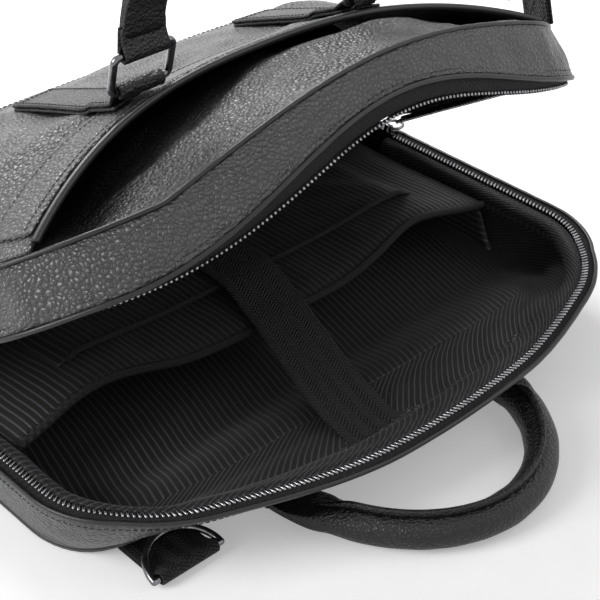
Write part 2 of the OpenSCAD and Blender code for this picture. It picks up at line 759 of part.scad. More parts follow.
module rear_handle_welt() {
    color(leather)
    translate([0, rear_b_y, rear_bar_z])
    handle_welt(rear_lift - 2, 2, 1);
}

// Front handle stands up from its tabs on the pocket panel
tab_t0 = 0.66;
function on_panel(x, t) = let (u = x / pocket_hw(t)) [x, pocket_y(u, t), pocket_z(u, t)];
front_bar = on_panel(leg_x, 0.03) + [0, -3.5, loop_r + leather_t + 2.4];
tab_tail = on_panel(leg_x + loop_w / 2, 0.06).y - front_bar.y - 0.4;
ring_lean = 16;
handle_lean = 8;

module front_tabs() {
    function pt(sx, i, z) = let (t = mix(0.06, tab_t0, i / 9))
        on_panel(sx, t) + [0, 0, z - 2.1 * ease((t - 0.2) / 0.05)];
    color(leather)
    on_lid()
    for (s = [-1, 1]) {
        x0 = s * leg_x - 13;
        x1 = s * leg_x + 13;
        slab([for (i = [0:9]) [pt(x0, i, 2.6 + 2 * leather_t), pt(x1, i, 2.6 + 2 * leather_t)]],
            [for (i = [0:9]) [pt(x0, i, 2.6), pt(x1, i, 2.6)]]);
    }
}

module front_tab_loops() {
    color(leather)
    on_lid()
    for (s = [-1, 1]) {
        translate([s * leg_x, front_bar.y, front_bar.z])
        bar_loop(loop_w, tab_tail);
    }
}

module at_front_bar() {
    on_lid()
    translate([0, front_bar.y, front_bar.z])
    rotate([lid_angle, 0, 0])
    children();
}

module front_ring_left() {
    color(metal)
    at_front_bar()
    translate([-leg_x, 0, 0])
    rotate([-90 + ring_lean, 0, 0])
    handle_ring();
}

module front_ring_right() {
    color(metal)
    at_front_bar()
    translate([leg_x, 0, 0])
    rotate([-90 + ring_lean, 0, 0])
    handle_ring();
}

module at_front_b() {
    at_front_bar()
    rotate([-90 + ring_lean, 0, 0])
    translate([0, -ring_l, 0])
    rotate([-ring_lean + handle_lean, 0, 0])
    children();
}

module front_handle_ends() {
    color(leather)
    at_front_b()
    handle_ends();
}

module front_handle_grip() {
    color(leather)
    at_front_b()
    handle_grip(-2, 2);
}

module front_handle_welt() {
    color(leather)
    at_front_b()
    handle_welt(-2, 2, -1);
}

// Strap anchors: doubled webbing folded round the bar of a D-ring
d_w = webbing_w + 6;
web_bore = wire_r + bar_fit;
web_loop = web_bore + webbing_t;

module webbing_loop(tail) {
    difference() {
        union() {
            rotate([0, 90, 0])
            cylinder(h = webbing_w, r = web_loop, center = true, $fn = 40);
            translate([-webbing_w / 2, 0, -web_loop])
            cube([webbing_w, tail, 2 * webbing_t]);
        }
        rotate([0, 90, 0])
        cylinder(h = webbing_w + 2, r = web_bore, center = true, $fn = 40);
    }
}

// D-ring with its bar on the X axis, the bow reaching toward +Y
module d_ring() {
    translate([-d_w / 2, 0, 0])
    rotate([0, 90, 0])
    cylinder(h = d_w, r = wire_r, $fn = 24);
    rotate_extrude(angle = 180, $fn = 64)
    translate([d_w / 2, 0])
    circle(r = wire_r, $fn = 24);
    for (s = [-1, 1]) {
        translate([s * d_w / 2, 0, 0])
        sphere(r = wire_r, $fn = 24);
    }
}

left_anchor = [-148, -139, web_loop + 0.5];

module strap_loop_left() {
    color(web)
    translate(left_anchor)
    webbing_loop(46);
}

module d_ring_left() {
    color(metal)
    translate(left_anchor)
    rotate([14, 0, 0])
    d_ring();
}

// The right anchor stands on the front seam at the top corner
anchor_a = 25;
anchor_tail = 36;
anchor_r = corner_r - 2.6;
right_anchor = [half_w - 3 - corner_r + anchor_r * cos(anchor_a),
    -ridge_y + corner_r - anchor_r * sin(anchor_a),
    gusset_h + 2.3];

module at_right_anchor() {
    on_lid()
    translate(right_anchor)
    rotate([0, 0, 90 - anchor_a])
    rotate([12, 0, 0])
    translate([0, 0, anchor_tail])
    children();
}

module strap_loop_right() {
    color(web)
    at_right_anchor()
    rotate([-90, 0, 0])
    webbing_loop(anchor_tail);
}

module d_ring_right() {
    color(metal)
    at_right_anchor()
    rotate([-50, 0, 0])
    d_ring();
}

rear_panel();
rear_yoke();
rear_foam();
rear_wall();
rear_piping();
rear_tape();
rear_chain();
floor_lining();
wall_lining();
rim_roll();
base_shell();
base_lining();
sleeve_panel();
sleeve_binding();
sleeve_gussets();
slip_pocket();
slip_binding();
loop_patch();
laptop_strap();
hook_patch();
zip_stops();
slider_left();
slider_right();
pull_left();
pull_right();
front_gusset();
front_rim_piping();
front_seam_piping();
front_tape();
front_chain();
front_gusset_lining();
front_ceiling();
front_panel();
pocket_panel();
pocket_band();
pocket_binding();
fold_leather();
front_tabs();
front_tab_loops();
front_ring_left();
front_ring_right();
front_handle_ends();
front_handle_grip();
front_handle_welt();
rear_tabs();
rear_tab_loops();
rear_ring_left();
rear_ring_right();
rear_handle_ends();
rear_handle_grip();
rear_handle_welt();
strap_loop_left();
d_ring_left();
strap_loop_right();
d_ring_right();
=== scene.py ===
# %% [markdown]
# # A soft leather laptop briefcase, opened
# The case lies on its back. Its front half is unzipped and folded back about the line of the
# zip ends, so that the padded laptop sleeve shows inside. This file dresses a fixed frame of
# plain solids: it replaces every soft solid with a shaped skin, adds teeth, threads and folds,
# and gives each surface a finish. Nothing here moves a part, it only makes it look real.

# %% Load the frame and remember its size
import bpy
import math
import numpy as np
from mathutils import Matrix, Vector, noise


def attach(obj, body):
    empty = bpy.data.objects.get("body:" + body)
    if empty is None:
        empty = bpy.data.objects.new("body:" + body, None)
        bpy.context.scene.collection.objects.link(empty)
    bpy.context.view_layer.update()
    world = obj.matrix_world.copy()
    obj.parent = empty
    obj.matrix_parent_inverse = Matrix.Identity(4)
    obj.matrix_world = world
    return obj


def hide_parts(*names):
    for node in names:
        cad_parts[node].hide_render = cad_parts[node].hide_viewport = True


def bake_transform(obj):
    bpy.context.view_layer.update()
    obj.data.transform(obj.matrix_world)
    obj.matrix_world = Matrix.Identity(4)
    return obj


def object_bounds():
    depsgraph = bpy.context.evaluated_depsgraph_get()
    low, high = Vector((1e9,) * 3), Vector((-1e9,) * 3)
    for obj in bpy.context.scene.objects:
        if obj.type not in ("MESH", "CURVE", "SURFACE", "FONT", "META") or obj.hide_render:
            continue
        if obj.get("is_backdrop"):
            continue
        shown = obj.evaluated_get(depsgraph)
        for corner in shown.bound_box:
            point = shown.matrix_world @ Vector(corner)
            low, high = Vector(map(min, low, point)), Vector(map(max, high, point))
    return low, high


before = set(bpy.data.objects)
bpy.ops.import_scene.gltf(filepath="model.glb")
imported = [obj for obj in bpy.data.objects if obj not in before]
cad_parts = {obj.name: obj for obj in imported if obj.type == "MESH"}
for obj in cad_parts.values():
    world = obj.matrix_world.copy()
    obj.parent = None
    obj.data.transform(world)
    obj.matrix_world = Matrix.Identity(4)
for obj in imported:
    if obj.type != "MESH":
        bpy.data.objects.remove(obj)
cad_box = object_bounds()
scene = bpy.context.scene

# %% [markdown]
# ## Where the camera stands
# The case is seen from above its top left corner with a long lens, about a head's height over
# a table.

# %% Camera
def aim_camera(target, azimuth, elevation, distance, lens):
    a, e = math.radians(azimuth), math.radians(elevation)
    back = Vector((math.sin(a) * math.cos(e), -math.cos(a) * math.cos(e), math.sin(e)))
    cam = bpy.data.objects.new("camera", bpy.data.cameras.new("camera"))
    cam.data.lens = lens
    cam.data.sensor_width = 36
    cam.data.clip_start = 0.01
    cam.location = Vector(target) + distance * back
    cam.rotation_euler = back.to_track_quat("Z", "Y").to_euler()
    scene.collection.objects.link(cam)
    return cam

camera = aim_camera((-0.013, -0.085, 0.032), -42.9, 36.95, 0.86, 90)
camera.data.shift_x = -0.0148
camera.data.shift_y = 0.108
scene.camera = camera
print("camera at", [round(v, 3) for v in camera.location])

# %% [markdown]
# ## The sizes of the case
# All shaping is done in millimetres, with the same named sizes as the solid model, and turned
# to metres when a mesh is made. Typing a size once keeps every piece that uses it in step.
# Small helpers for easing and mixing keep the curves readable.

# %% Sizes in millimetres
HALF = 204.0                   # half the width over the leather rim
TOP_Y, BOW = 146.0, 28.0       # the top edge, and how far its middle bows out
BOW_HALF = 183.0               # half the width of the bow
CORNER = 60.0                  # radius of the round top corners
DEPTH = 46.0                   # rear section, back panel to rim
SAG_OUT, SAG_DOWN = 9.0, 10.0  # how far the tray's rim leans out and sinks in the middle
FOLD_Y, FOLD_Z = 65.0, 49.8    # the line that the front section turns about
ROUND = 104.0                  # radius of the rounded bottom end
LID = 31.0                     # opening angle of the front section
BAND = 34.0                    # front gusset band
MOUTH_Y, MOUTH_H = 165.0, 51.0 # the pocket mouth's distance from the fold, and its height
LIFT = 38.0                    # how far the cover's rim is pulled up in the middle
SEAM_Y = TOP_Y + FOLD_Y - 3
FLOOR = 7.4                    # the floor of the tray, over the foam board
SLEEVE_HW, SLEEVE_H = 183.0, 27.0
LEG, REACH, ROLL = 80.0, 103.0, 10.0  # handle: half its foot spacing, its reach, its roll's radius
WEB_W = 38.0                   # webbing width
TAPE_OUT, TAPE_MID, TAPE_IN, TEETH_IN = 1.8, 4.4, 6.9, 7.9  # zip lines, measured in from the rim
UP = np.array([0, 0, 1.0])

def clamp01(t):
    return np.clip(t, 0.0, 1.0)

def ease(t):
    t = clamp01(np.asarray(t, float))
    return t * t * (3 - 2 * t)

def mix(a, b, t):
    return a + (b - a) * t

def bump_at(x, centre, width):
    return np.exp(-((x - centre) / width) ** 2)

def bowed(x, b):
    return np.where(np.abs(x) < BOW_HALF, b * (1 - (x / BOW_HALF) ** 2), 0.0)

def back_lift(x, y):
    "how far the back panel's front edge is raised off the table; its two corners stay low"
    return 16 * ease((-66 - y) / 46) * ease((HALF - 8 - np.abs(x)) / 62)

def tray_sag(x, y):
    "how much the tray's rim has sunk: nothing at the left corner, most near the middle"
    return ease((x + HALF - 14) / 160) * (1 - 0.85 * ease((x - 70) / 120)) * ease((-80 - y) / 60)

print("closed size about", 2 * HALF, "x", TOP_Y + BOW + FOLD_Y + ROUND, "mm")

# %% [markdown]
# ## Lines that the skins are hung on
# Every edge of the case follows one plan: straight sides, round top corners and a top edge that
# bows outward. `plan` walks that plan from the left fold point to the right one, at any inset.

# %% The plan line and its copies
N_SIDE, N_CORNER, N_EDGE = 30, 20, 66

def plan(hw, yf, r, b, yh=FOLD_Y):
    side = np.stack([np.full(N_SIDE, -hw), mix(yh, yf + r, np.arange(N_SIDE) / N_SIDE)], 1)
    a = np.radians(180 + 90 * np.arange(N_CORNER + 1) / N_CORNER)
    corner = np.stack([-hw + r + r * np.cos(a), yf + r + r * np.sin(a)], 1)
    x = mix(-hw + r, 0, np.arange(1, N_EDGE // 2) / (N_EDGE // 2))
    left = np.concatenate([side, corner, np.stack([x, np.full(len(x), yf)], 1)])
    right = left[::-1] * [-1, 1]
    line = np.concatenate([left, [[0, yf]], right])
    line[:, 1] -= bowed(line[:, 0], b)
    return line

def with_z(line, z):
    z = np.broadcast_to(np.asarray(z, float).reshape(-1, 1), (len(line), 1))
    return np.concatenate([line, z], 1)

def crown(u):
    "fullness of the rounded end across its width: one in the middle, nought at both sides"
    return (1 - np.abs(u) ** 5) ** 0.4

def columns(n):
    "places across the width from -1 to 1, closer together near the sides"
    return np.sin(np.radians(90 * np.linspace(-1, 1, n)))

def crown_line(hw, r, n=70):
    "rounded bottom end: x and radius about the fold line, from the left side to the right"
    u = columns(n)
    side = [8, 14, 20, 27]
    return np.array([[-hw, s] for s in side]
                    + [[hw * a, BAND + (r - BAND) * c] for a, c in zip(u, crown(u))]
                    + [[hw, s] for s in side[::-1]])

def wall_ring(q, d, dz=0.0):
    "closed line round the rear section; q is 0 at the back panel and 1 at the rim, d the inset"
    hw = HALF - 12 * (1 - q) ** 1.5 - d
    yf = -TOP_Y + 25 * (1 - q) ** 1.2 + d
    front = plan(hw, yf, CORNER - d, BOW * q)
    back = crown_line(hw, ROUND - 8 * (1 - q) ** 1.5 - d)[::-1]
    ring = np.concatenate([front, np.stack([back[:, 0], FOLD_Y + back[:, 1]], 1)])
    x, y = ring[:, 0], ring[:, 1]
    y -= SAG_OUT * q * q * tray_sag(x, y)
    return with_z(ring, mix(back_lift(x, y) + 1, DEPTH - SAG_DOWN * tray_sag(x, y), q) + dz)

def rim_rear(d, dz):
    "line along the tray's rim, d in from it and dz over it"
    line = plan(HALF - d, -TOP_Y + d, CORNER - d, BOW)
    line[:, 1] -= SAG_OUT * tray_sag(line[:, 0], line[:, 1])
    return with_z(line, DEPTH - SAG_DOWN * tray_sag(line[:, 0], line[:, 1]) + dz)

print("rim line has", len(rim_rear(0, 0)), "points")

# %% [markdown]
# ### The cover's own lines
# The cover is drawn shut, with the fold line at y = 0, and `opened` turns a finished shape about
# that line. Drawing it shut keeps its plan a plain copy of the tray's, so that both halves still
# meet when the case is closed.

# %% Lines of the cover, and how it opens
def rim_up(x, y):
    "how far the cover's rim is pulled up: most a little right of the middle, nought at the fold"
    return LIFT * np.cos(np.radians(90 * clamp01(np.abs(x - 20) / 175))) ** 2 * clamp01(-y / 242) ** 1.5

def seam_up(x, y):
    "the same pull on the seam, where it is weaker and spread less"
    return 0.68 * LIFT * np.cos(np.radians(90 * clamp01(np.abs(x - 25) / 150))) * clamp01(-y / 235)

def drawn(x, y):
    "draws the cover's sides in beside the fold, so that they pass inside the rounded end"
    return x - np.sign(x) * 3.2 * (1 - clamp01((-y - 6) / 60)) * (np.abs(x) > HALF - 12)

def lid_plan(d, inset, start):
    line = plan(HALF - inset - d, -TOP_Y + inset + d, CORNER - d, BOW, FOLD_Y + start)
    y = line[:, 1] - FOLD_Y
    return line[:, 0], y

def rim_front(d, z, start=0.0):
    x, y = lid_plan(d, 0, start)
    return np.stack([drawn(x, y), y, z + rim_up(x, y)], 1)

def droop(d, z, start=0.0):
    "line on the cover's zip: it hangs down where the tray's rim has sunk and leaves it room"
    line = rim_front(d, z, start)
    hang = tray_sag(line[:, 0], line[:, 1] + FOLD_Y)
    line[:, 2] -= hang * 1.25 * (d - TAPE_OUT)
    line[:, 1] -= hang * 0.8 * (d - TAPE_OUT)
    return line

def seam_front_line(d, z, start=0.0):
    x, y = lid_plan(d, 3, start)
    return np.stack([drawn(x, y), y, z + seam_up(x, y)], 1)

def opened(p, angle=LID):
    "from the closed front section's own frame to the frame of the whole case"
    a = math.radians(-angle)
    p = np.asarray(p, float)
    y = p[..., 1] * math.cos(a) - p[..., 2] * math.sin(a) + FOLD_Y
    z = p[..., 1] * math.sin(a) + p[..., 2] * math.cos(a) + FOLD_Z
    return np.stack([p[..., 0], y, z], -1)

lid_up = opened(UP) - opened(0 * UP)
print("the opened cover faces", lid_up.round(3))

# %% [markdown]
# ## From lines to meshes
# Cloth and leather are thin sheets, so most pieces are a grid of points with a thickness. `skin`
# offsets the grid along its own normals, rounds the cut edge and lays out real-size texture
# coordinates in metres, so that a stripe 4 mm wide is drawn 4 mm wide.

# %% Grids and their normals
def grid_normals(g, closed):
    if closed:
        du = np.roll(g, -1, 1) - np.roll(g, 1, 1)
    else:
        du = np.gradient(g, axis=1)
    dv = np.gradient(g, axis=0)
    n = np.cross(du, dv)
    return n / np.maximum(np.linalg.norm(n, axis=2, keepdims=True), 1e-9)

def facing(g, closed, face):
    "normals turned to the side that face names: out, in, or a direction"
    n = grid_normals(g, closed)
    if isinstance(face, str):
        want = g - g.reshape(-1, 3).mean(0)
        want = want if face == "out" else -want
    else:
        want = np.broadcast_to(np.asarray(face, float), g.shape)
    return n if (n * want).sum() >= 0 else -n

def ripple(g, amount, size, seed=0, octaves=2, stretch=(1, 1, 1)):
    "soft noise over a grid, in millimetres"
    q = (g * np.array(stretch) / size).reshape(-1, 3) + np.array([seed * 7.31, seed * 3.17, seed * 5.9])
    v = [noise.fractal(Vector(p), 1.0, 2.1, octaves) for p in q]
    return amount * np.array(v).reshape(g.shape[:2])

def pushed(g, amount, face, closed=False):
    "moves a grid's points along their normals by an amount in millimetres"
    return g + facing(g, closed, face) * np.asarray(amount)[..., None]

def finer(g, closed, fold):
    "adds a line of points close to each open border, so that the rounded edge stays tight"
    def along(a):
        first, last = a[1] - a[0], a[-1] - a[-2]
        f = min(0.5, fold / max(1e-6, np.linalg.norm(first, axis=-1).mean()))
        b = min(0.5, fold / max(1e-6, np.linalg.norm(last, axis=-1).mean()))
        return np.concatenate([a[:1], [a[0] + f * first], a[1:-1], [a[-1] - b * last], a[-1:]])
    g = along(g)
    return g if closed else along(g.transpose(1, 0, 2)).transpose(1, 0, 2)

print("a flat grid faces", grid_normals(np.stack(np.meshgrid([0, 1], [0, 1], [0]), -1)[:, :, 0], False)[0, 0])

# %% [markdown]
# ### A sheet with a thickness
# A solidify modifier could thicken a sheet, but it leaves square cut edges. Leather edges are
# soft, so `skin` builds both faces itself and joins them over one extra line of points that
# stands out half way between them, which rounds the edge.

# %% Sheets
def add_object(name, verts, faces, uv=None):
    "a smooth mesh in the scene from points in millimetres, with real-size texture coordinates"
    me = bpy.data.meshes.new(name)
    me.from_pydata((np.asarray(verts) / 1000.0).tolist(), [], faces)
    me.validate()
    me.polygons.foreach_set("use_smooth", [True] * len(me.polygons))
    if uv is not None:
        layer = me.uv_layers.new(name="metres")
        idx = np.empty(len(me.loops), int)
        me.loops.foreach_get("vertex_index", idx)
        layer.data.foreach_set("uv", (np.asarray(uv)[idx] / 1000.0).ravel())
    ob = bpy.data.objects.new(name, me)
    scene.collection.objects.link(ob)
    return ob

EDGE_ROUND = 0.42       # how far a cut edge stands out, as a share of the thickness

def skin(name, g, thick, face, closed=False):
    "a grid of points as a sheet: its outer face is the grid, and its thickness lies behind"
    g = finer(np.asarray(g, float), closed, 0.9 * thick)
    n = facing(g, closed, face)
    turn = (grid_normals(g, closed) * n).sum() < 0
    rows, cols = g.shape[:2]
    step_u = np.linalg.norm(np.diff(g, axis=1, prepend=g[:, :1]), axis=2).cumsum(1)
    step_v = np.linalg.norm(np.diff(g, axis=0, prepend=g[:1]), axis=2).cumsum(0)
    uv = np.stack([step_u, step_v], -1).reshape(-1, 2)
    top, low = g.reshape(-1, 3), (g - n * thick).reshape(-1, 3)
    verts = [top, low]
    uvs = [uv, uv]
    count = rows * cols
    wrap = cols if closed else cols - 1
    i, j = np.meshgrid(np.arange(rows - 1), np.arange(wrap), indexing="ij")
    a, b = i * cols + j, i * cols + (j + 1) % cols
    quads = np.stack([a, b, b + cols, a + cols], -1).reshape(-1, 4)
    if turn:
        quads = quads[:, ::-1]
    faces = quads.tolist() + (quads[:, ::-1] + count).tolist()
    if closed:
        loops = [[k for k in range(cols)], [(rows - 1) * cols + k for k in range(cols)]]
        inner = [[cols + k for k in range(cols)], [(rows - 2) * cols + k for k in range(cols)]]
        turns = [not turn, turn]
    else:
        ring = [k for k in range(cols)] + [r * cols + cols - 1 for r in range(1, rows)]
        ring += [(rows - 1) * cols + k for k in range(cols - 2, -1, -1)]
        ring += [r * cols for r in range(rows - 2, 0, -1)]
        def pulled(k):
            r, c = divmod(k, cols)
            return min(max(r, 1), rows - 2) * cols + min(max(c, 1), cols - 2)
        loops, inner, turns = [ring], [[pulled(k) for k in ring]], [not turn]
    base = 2 * count
    for loop, ins, flip in zip(loops, inner, turns):
        loop, ins = np.array(loop), np.array(ins)
        out = top[loop] - top[ins]
        out /= np.maximum(np.linalg.norm(out, axis=1, keepdims=True), 1e-9)
        verts.append((top[loop] + low[loop]) / 2 + out * thick * EDGE_ROUND)
        uvs.append(uv[loop])
        m = len(loop)
        for k in range(m):
            k2 = (k + 1) % m
            for quad in ([loop[k], base + k, base + k2, loop[k2]],
                         [base + k, loop[k] + count, loop[k2] + count, base + k2]):
                faces.append([int(v) for v in (quad if flip else quad[::-1])])
        base += m
    return add_object(name, np.concatenate(verts), faces, np.concatenate(uvs))

print("a cut edge stands out by", EDGE_ROUND, "of its thickness")

# %% [markdown]
# ### Piping and binding
# Piping is a strip of leather folded round a cord, so from outside it is a bead that follows a
# seam. A curve with a bevel would draw one too, but a swept ring lets the bead's radius wander
# from point to point, as a hand-guided one does.

# %% Beads along a line
def frames_along(pts, up=None, closed=False):
    "three directions at each point of a line: along it, to its side, and up from it"
    pts = np.asarray(pts, float)
    t = np.roll(pts, -1, 0) - np.roll(pts, 1, 0) if closed else np.gradient(pts, axis=0)
    t /= np.maximum(np.linalg.norm(t, axis=1, keepdims=True), 1e-9)
    up = np.broadcast_to(np.asarray((0, 0, 1.0) if up is None else up, float), pts.shape)
    s = np.cross(t, up)
    s /= np.maximum(np.linalg.norm(s, axis=1, keepdims=True), 1e-9)
    return t, s, np.cross(s, t)

def tube(name, pts, r, sides=10, up=None, closed=False, squash=1.0):
    "round bead along a line; r may change from point to point"
    pts = np.asarray(pts, float)
    t, s, u = frames_along(pts, up, closed)
    r = np.broadcast_to(np.asarray(r, float).reshape(-1, 1), (len(pts), 1))
    a = 2 * math.pi * np.arange(sides) / sides
    rings = [pts + r * (math.cos(x) * s + squash * math.sin(x) * u) for x in a]
    verts = np.stack(rings, 1).reshape(-1, 3)
    n = len(pts)
    faces = []
    for i in range(n if closed else n - 1):
        i2 = (i + 1) % n
        for k in range(sides):
            k2 = (k + 1) % sides
            faces.append([i * sides + k, i * sides + k2, i2 * sides + k2, i2 * sides + k])
    if not closed:
        faces += [list(range(sides))[::-1], [(n - 1) * sides + k for k in range(sides)]]
    length = np.linalg.norm(np.diff(pts, axis=0, prepend=pts[:1]), axis=1).cumsum()
    uv = np.stack([np.repeat(length, sides), np.tile(a * float(np.mean(r)), n)], 1)
    return add_object(name, verts, faces, uv)

def spaced(pts, step):
    "points at an even spacing along a line"
    pts = np.asarray(pts, float)
    d = np.linalg.norm(np.diff(pts, axis=0), axis=1)
    s = np.concatenate([[0], d.cumsum()])
    n = max(2, int(round(s[-1] / step)))
    at = (np.arange(n) + 0.5) * s[-1] / n
    return np.stack([np.interp(at, s, pts[:, k]) for k in range(3)], 1)

print("a line of 10 mm holds", len(spaced([[0, 0, 0], [10, 0, 0]], 2.5)), "places at 2.5 mm")

# %% [markdown]
# ### Threads and teeth
# A seam shows as a row of short rounded bars. Instances would be lighter, but one joined mesh
# per row is simpler to ride on a body, and each bar needs only a few dozen points.

# %% Rows of small copies
def many(name, shape_verts, shape_faces, places):
    "one mesh of many small copies; places are 4x4 arrays in millimetres"
    v = np.concatenate([np.asarray(shape_verts, float), np.ones((len(shape_verts), 1))], 1)
    verts = np.concatenate([(v @ m.T)[:, :3] for m in places])
    k = len(shape_verts)
    faces = [[f + i * k for f in face] for i in range(len(places)) for face in shape_faces]
    return add_object(name, verts, faces)

def place_at(p, x, y, z):
    "a 4x4 array that puts a copy at p with its axes along x, y and z"
    m = np.eye(4)
    m[:3, 0], m[:3, 1], m[:3, 2], m[:3, 3] = x, y, z, p
    return m

def capsule(length, r, sides=6, flat=1.0):
    "thread or tooth: a rounded bar along X"
    xs = [(-0.5, 0.0), (-0.47, 0.55), (-0.38, 1.0), (0.38, 1.0), (0.47, 0.55), (0.5, 0.0)]
    v, f = [[-length / 2, 0, 0]], []
    for x, k in xs[1:-1]:
        for a in range(sides):
            t = 2 * math.pi * a / sides
            v.append([x * length, r * k * math.cos(t), r * k * flat * math.sin(t)])
    v.append([length / 2, 0, 0])
    for a in range(sides):
        f.append([0, 1 + (a + 1) % sides, 1 + a])
    for ring in range(3):
        for a in range(sides):
            b = (a + 1) % sides
            p = 1 + ring * sides
            f.append([p + a, p + b, p + sides + b, p + sides + a])
    p = 1 + 3 * sides
    for a in range(sides):
        f.append([len(v) - 1, p + a, p + (a + 1) % sides])
    return v, f

def stitches(name, line, up, pitch=3.4, length=2.5, r=0.28):
    "a row of threads lying on a surface"
    pts = spaced(line, pitch)
    t, s, u = frames_along(pts, up)
    places = [place_at(p, a, b, c) for p, a, b, c in zip(pts, t, s, u)]
    v, f = capsule(length, r, 5)
    return many(name, v, f, places)

print("a thread has", len(capsule(1.0, 0.1, 5)[0]), "points")

# %% [markdown]
# ## Finishes
# Colours are written as the hex values a designer would quote, and turned to linear once.
# `add` puts one node into a material with its settings and links, and everything is built
# from it. Scales are worked out from real sizes: a pebble 2.6 mm across is a scale of 1/0.0026.

# %% Colour and node helpers
def hexa(code):
    "an sRGB hex value as linear red, green, blue and an alpha of one"
    def linear(c):
        return c / 12.92 if c <= 0.04045 else ((c + 0.055) / 1.055) ** 2.4
    return tuple(linear(int(code[i:i + 2], 16) / 255) for i in (1, 3, 5)) + (1.0,)

def set_stops(color_ramp, stops):
    while len(color_ramp.elements) < len(stops):
        color_ramp.elements.new(0.5)
    for element, (position, code) in zip(color_ramp.elements, stops):
        element.position = position
        element.color = hexa(code)

def feed(socket, source):
    "links a node's first output, or the output given, to a socket, or sets a plain value on it"
    if isinstance(source, bpy.types.Node):
        source = source.outputs[0]
    if isinstance(source, bpy.types.NodeSocket):
        socket.id_data.links.new(source, socket)
    else:
        socket.default_value = source

def add(tree, kind, *sources, **links):
    """one node: "Math ADD" is a Math node set to ADD, a dict that comes first gives properties and
    inputs by name, and the rest is linked to or set on the inputs, in order or by name"""
    kind, _, operation = kind.partition(" ")
    node = tree.nodes.new("ShaderNode" + kind)
    settings = {"operation": operation} if operation else {}
    if sources and isinstance(sources[0], dict):
        settings.update(sources[0])
        sources = sources[1:]
    for key, value in settings.items():
        if key == "stops":
            set_stops(node.color_ramp, value)
        elif key[0].islower():
            setattr(node, key, value)
        else:
            feed(node.inputs[int(key) if key.isdigit() else key], value)
    for socket, source in zip(node.inputs, sources):
        feed(socket, source)
    for key, source in links.items():
        feed(node.inputs[int(key[2:]) if key[2:].isdigit() else key], source)
    return node

def finish_named(name, **shader):
    mat = bpy.data.materials.new(name)
    mat.use_nodes = True
    tree = mat.node_tree
    tree.nodes.clear()
    out = tree.nodes.new("ShaderNodeOutputMaterial")
    bsdf = tree.nodes.new("ShaderNodeBsdfPrincipled")
    for key, value in shader.items():
        bsdf.inputs[key.replace("_", " ")].default_value = value
    tree.links.new(bsdf.outputs[0], out.inputs[0])
    return mat, tree, bsdf

print("black leather reads as", [round(c, 4) for c in hexa("#1d1d1f")[:3]])

# %% [markdown]
# ### Tumbled leather
# The shell is milled full-grain leather: tumbling in a drum raises soft pebbles about 2 mm
# across, with fine creases between them. Light catches the tops, and the creases stay dark; the
# base colour paints this as well, with a painted highlight on the tops and painted shade in the
# creases. A cell texture stretched by noise gives pebbles that are never the same size twice.

# %% Leather finishes
def pebbled_leather(name, colour, crease, cell, depth, rough, shine, dressing):
    mat, tree, bsdf = finish_named(name, IOR=1.5, Specular_IOR_Level=shine,
                                   Coat_Weight=dressing, Coat_Roughness=0.28)
    where = add(tree, "TexCoord").outputs["Object"]
    # pebbles: cells of a bent lattice, round on top and parted by soft creases
    drift = add(tree, "TexNoise", {"Scale": 0.3 / cell, "Detail": 2.0}, Vector=where).outputs["Color"]
    bent = add(tree, "VectorMath MULTIPLY_ADD", drift, [cell * 1.3] * 3, where)
    cells = add(tree, "TexVoronoi", {"feature": "SMOOTH_F1", "Scale": 1 / cell, "Smoothness": 0.25},
                Vector=bent)
    pebble = add(tree, "MapRange", cells.outputs["Distance"], 0.15, 0.75, 1.0, 0.0)
    edges = add(tree, "TexVoronoi", {"feature": "DISTANCE_TO_EDGE", "Scale": 1 / cell}, Vector=bent)
    parted = add(tree, "MapRange", edges.outputs["Distance"], 0.0, 0.13, 0.0, 1.0)
    # broad patches where the drum has worked the hide more or less
    patch = add(tree, "TexNoise", {"Scale": 18.0, "Detail": 3.0}, Vector=where).outputs["Fac"]
    fine = add(tree, "TexNoise", {"Scale": 3.0 / cell, "Detail": 2.0, "Roughness": 0.6},
               Vector=where).outputs["Fac"]
    strength = add(tree, "MapRange", patch, 0.3, 0.7, 0.75, 1.2)
    raised = add(tree, "Math ADD", pebble, add(tree, "Math MULTIPLY", parted, 0.3))
    grain = add(tree, "Math MULTIPLY", raised, strength)
    height = add(tree, "Math ADD", grain, add(tree, "Math MULTIPLY", fine, 0.25))
    bump = add(tree, "Bump", {"Strength": 1.0, "Distance": depth}, Height=height)
    feed(bsdf.inputs["Normal"], bump)
    feed(bsdf.inputs["Coat Normal"], bump)
    # painted highlight and painted shade: the base colour is lighter on the pebble tops and darkest in the
    # creases between them
    painted_top_light = add(tree, "Math ADD", add(tree, "Math MULTIPLY", pebble, 0.4), 0.6)
    top = add(tree, "Math MULTIPLY", parted, painted_top_light)
    tone = add(tree, "Mix", {"data_type": "RGBA"}, top, in6=hexa(crease), in7=hexa(colour))
    feed(bsdf.inputs["Base Color"], tone.outputs[2])
    worn = add(tree, "Math ADD", add(tree, "MapRange", patch, 0.3, 0.7, rough - 0.03, rough + 0.05),
               add(tree, "MapRange", top, 0, 1, 0.2, 0.0))
    feed(bsdf.inputs["Roughness"], worn)
    return mat

# pebbles are drawn about a third larger than real ones, so that they still show at arm's length
SHELL_PEBBLE = 0.0026
# the second colour of each leather is the painted shade in its creases
shell_leather = pebbled_leather("tumbled black leather", "#313133", "#050506",
                                cell=SHELL_PEBBLE, depth=0.0008, rough=0.36, shine=0.75, dressing=0.25)
handle_leather = pebbled_leather("tumbled black handle leather", "#141415", "#060607",
                                 cell=0.002, depth=0.0004, rough=0.3, shine=0.4, dressing=0.08)
print("shell pebbles are", SHELL_PEBBLE * 1000, "mm across")

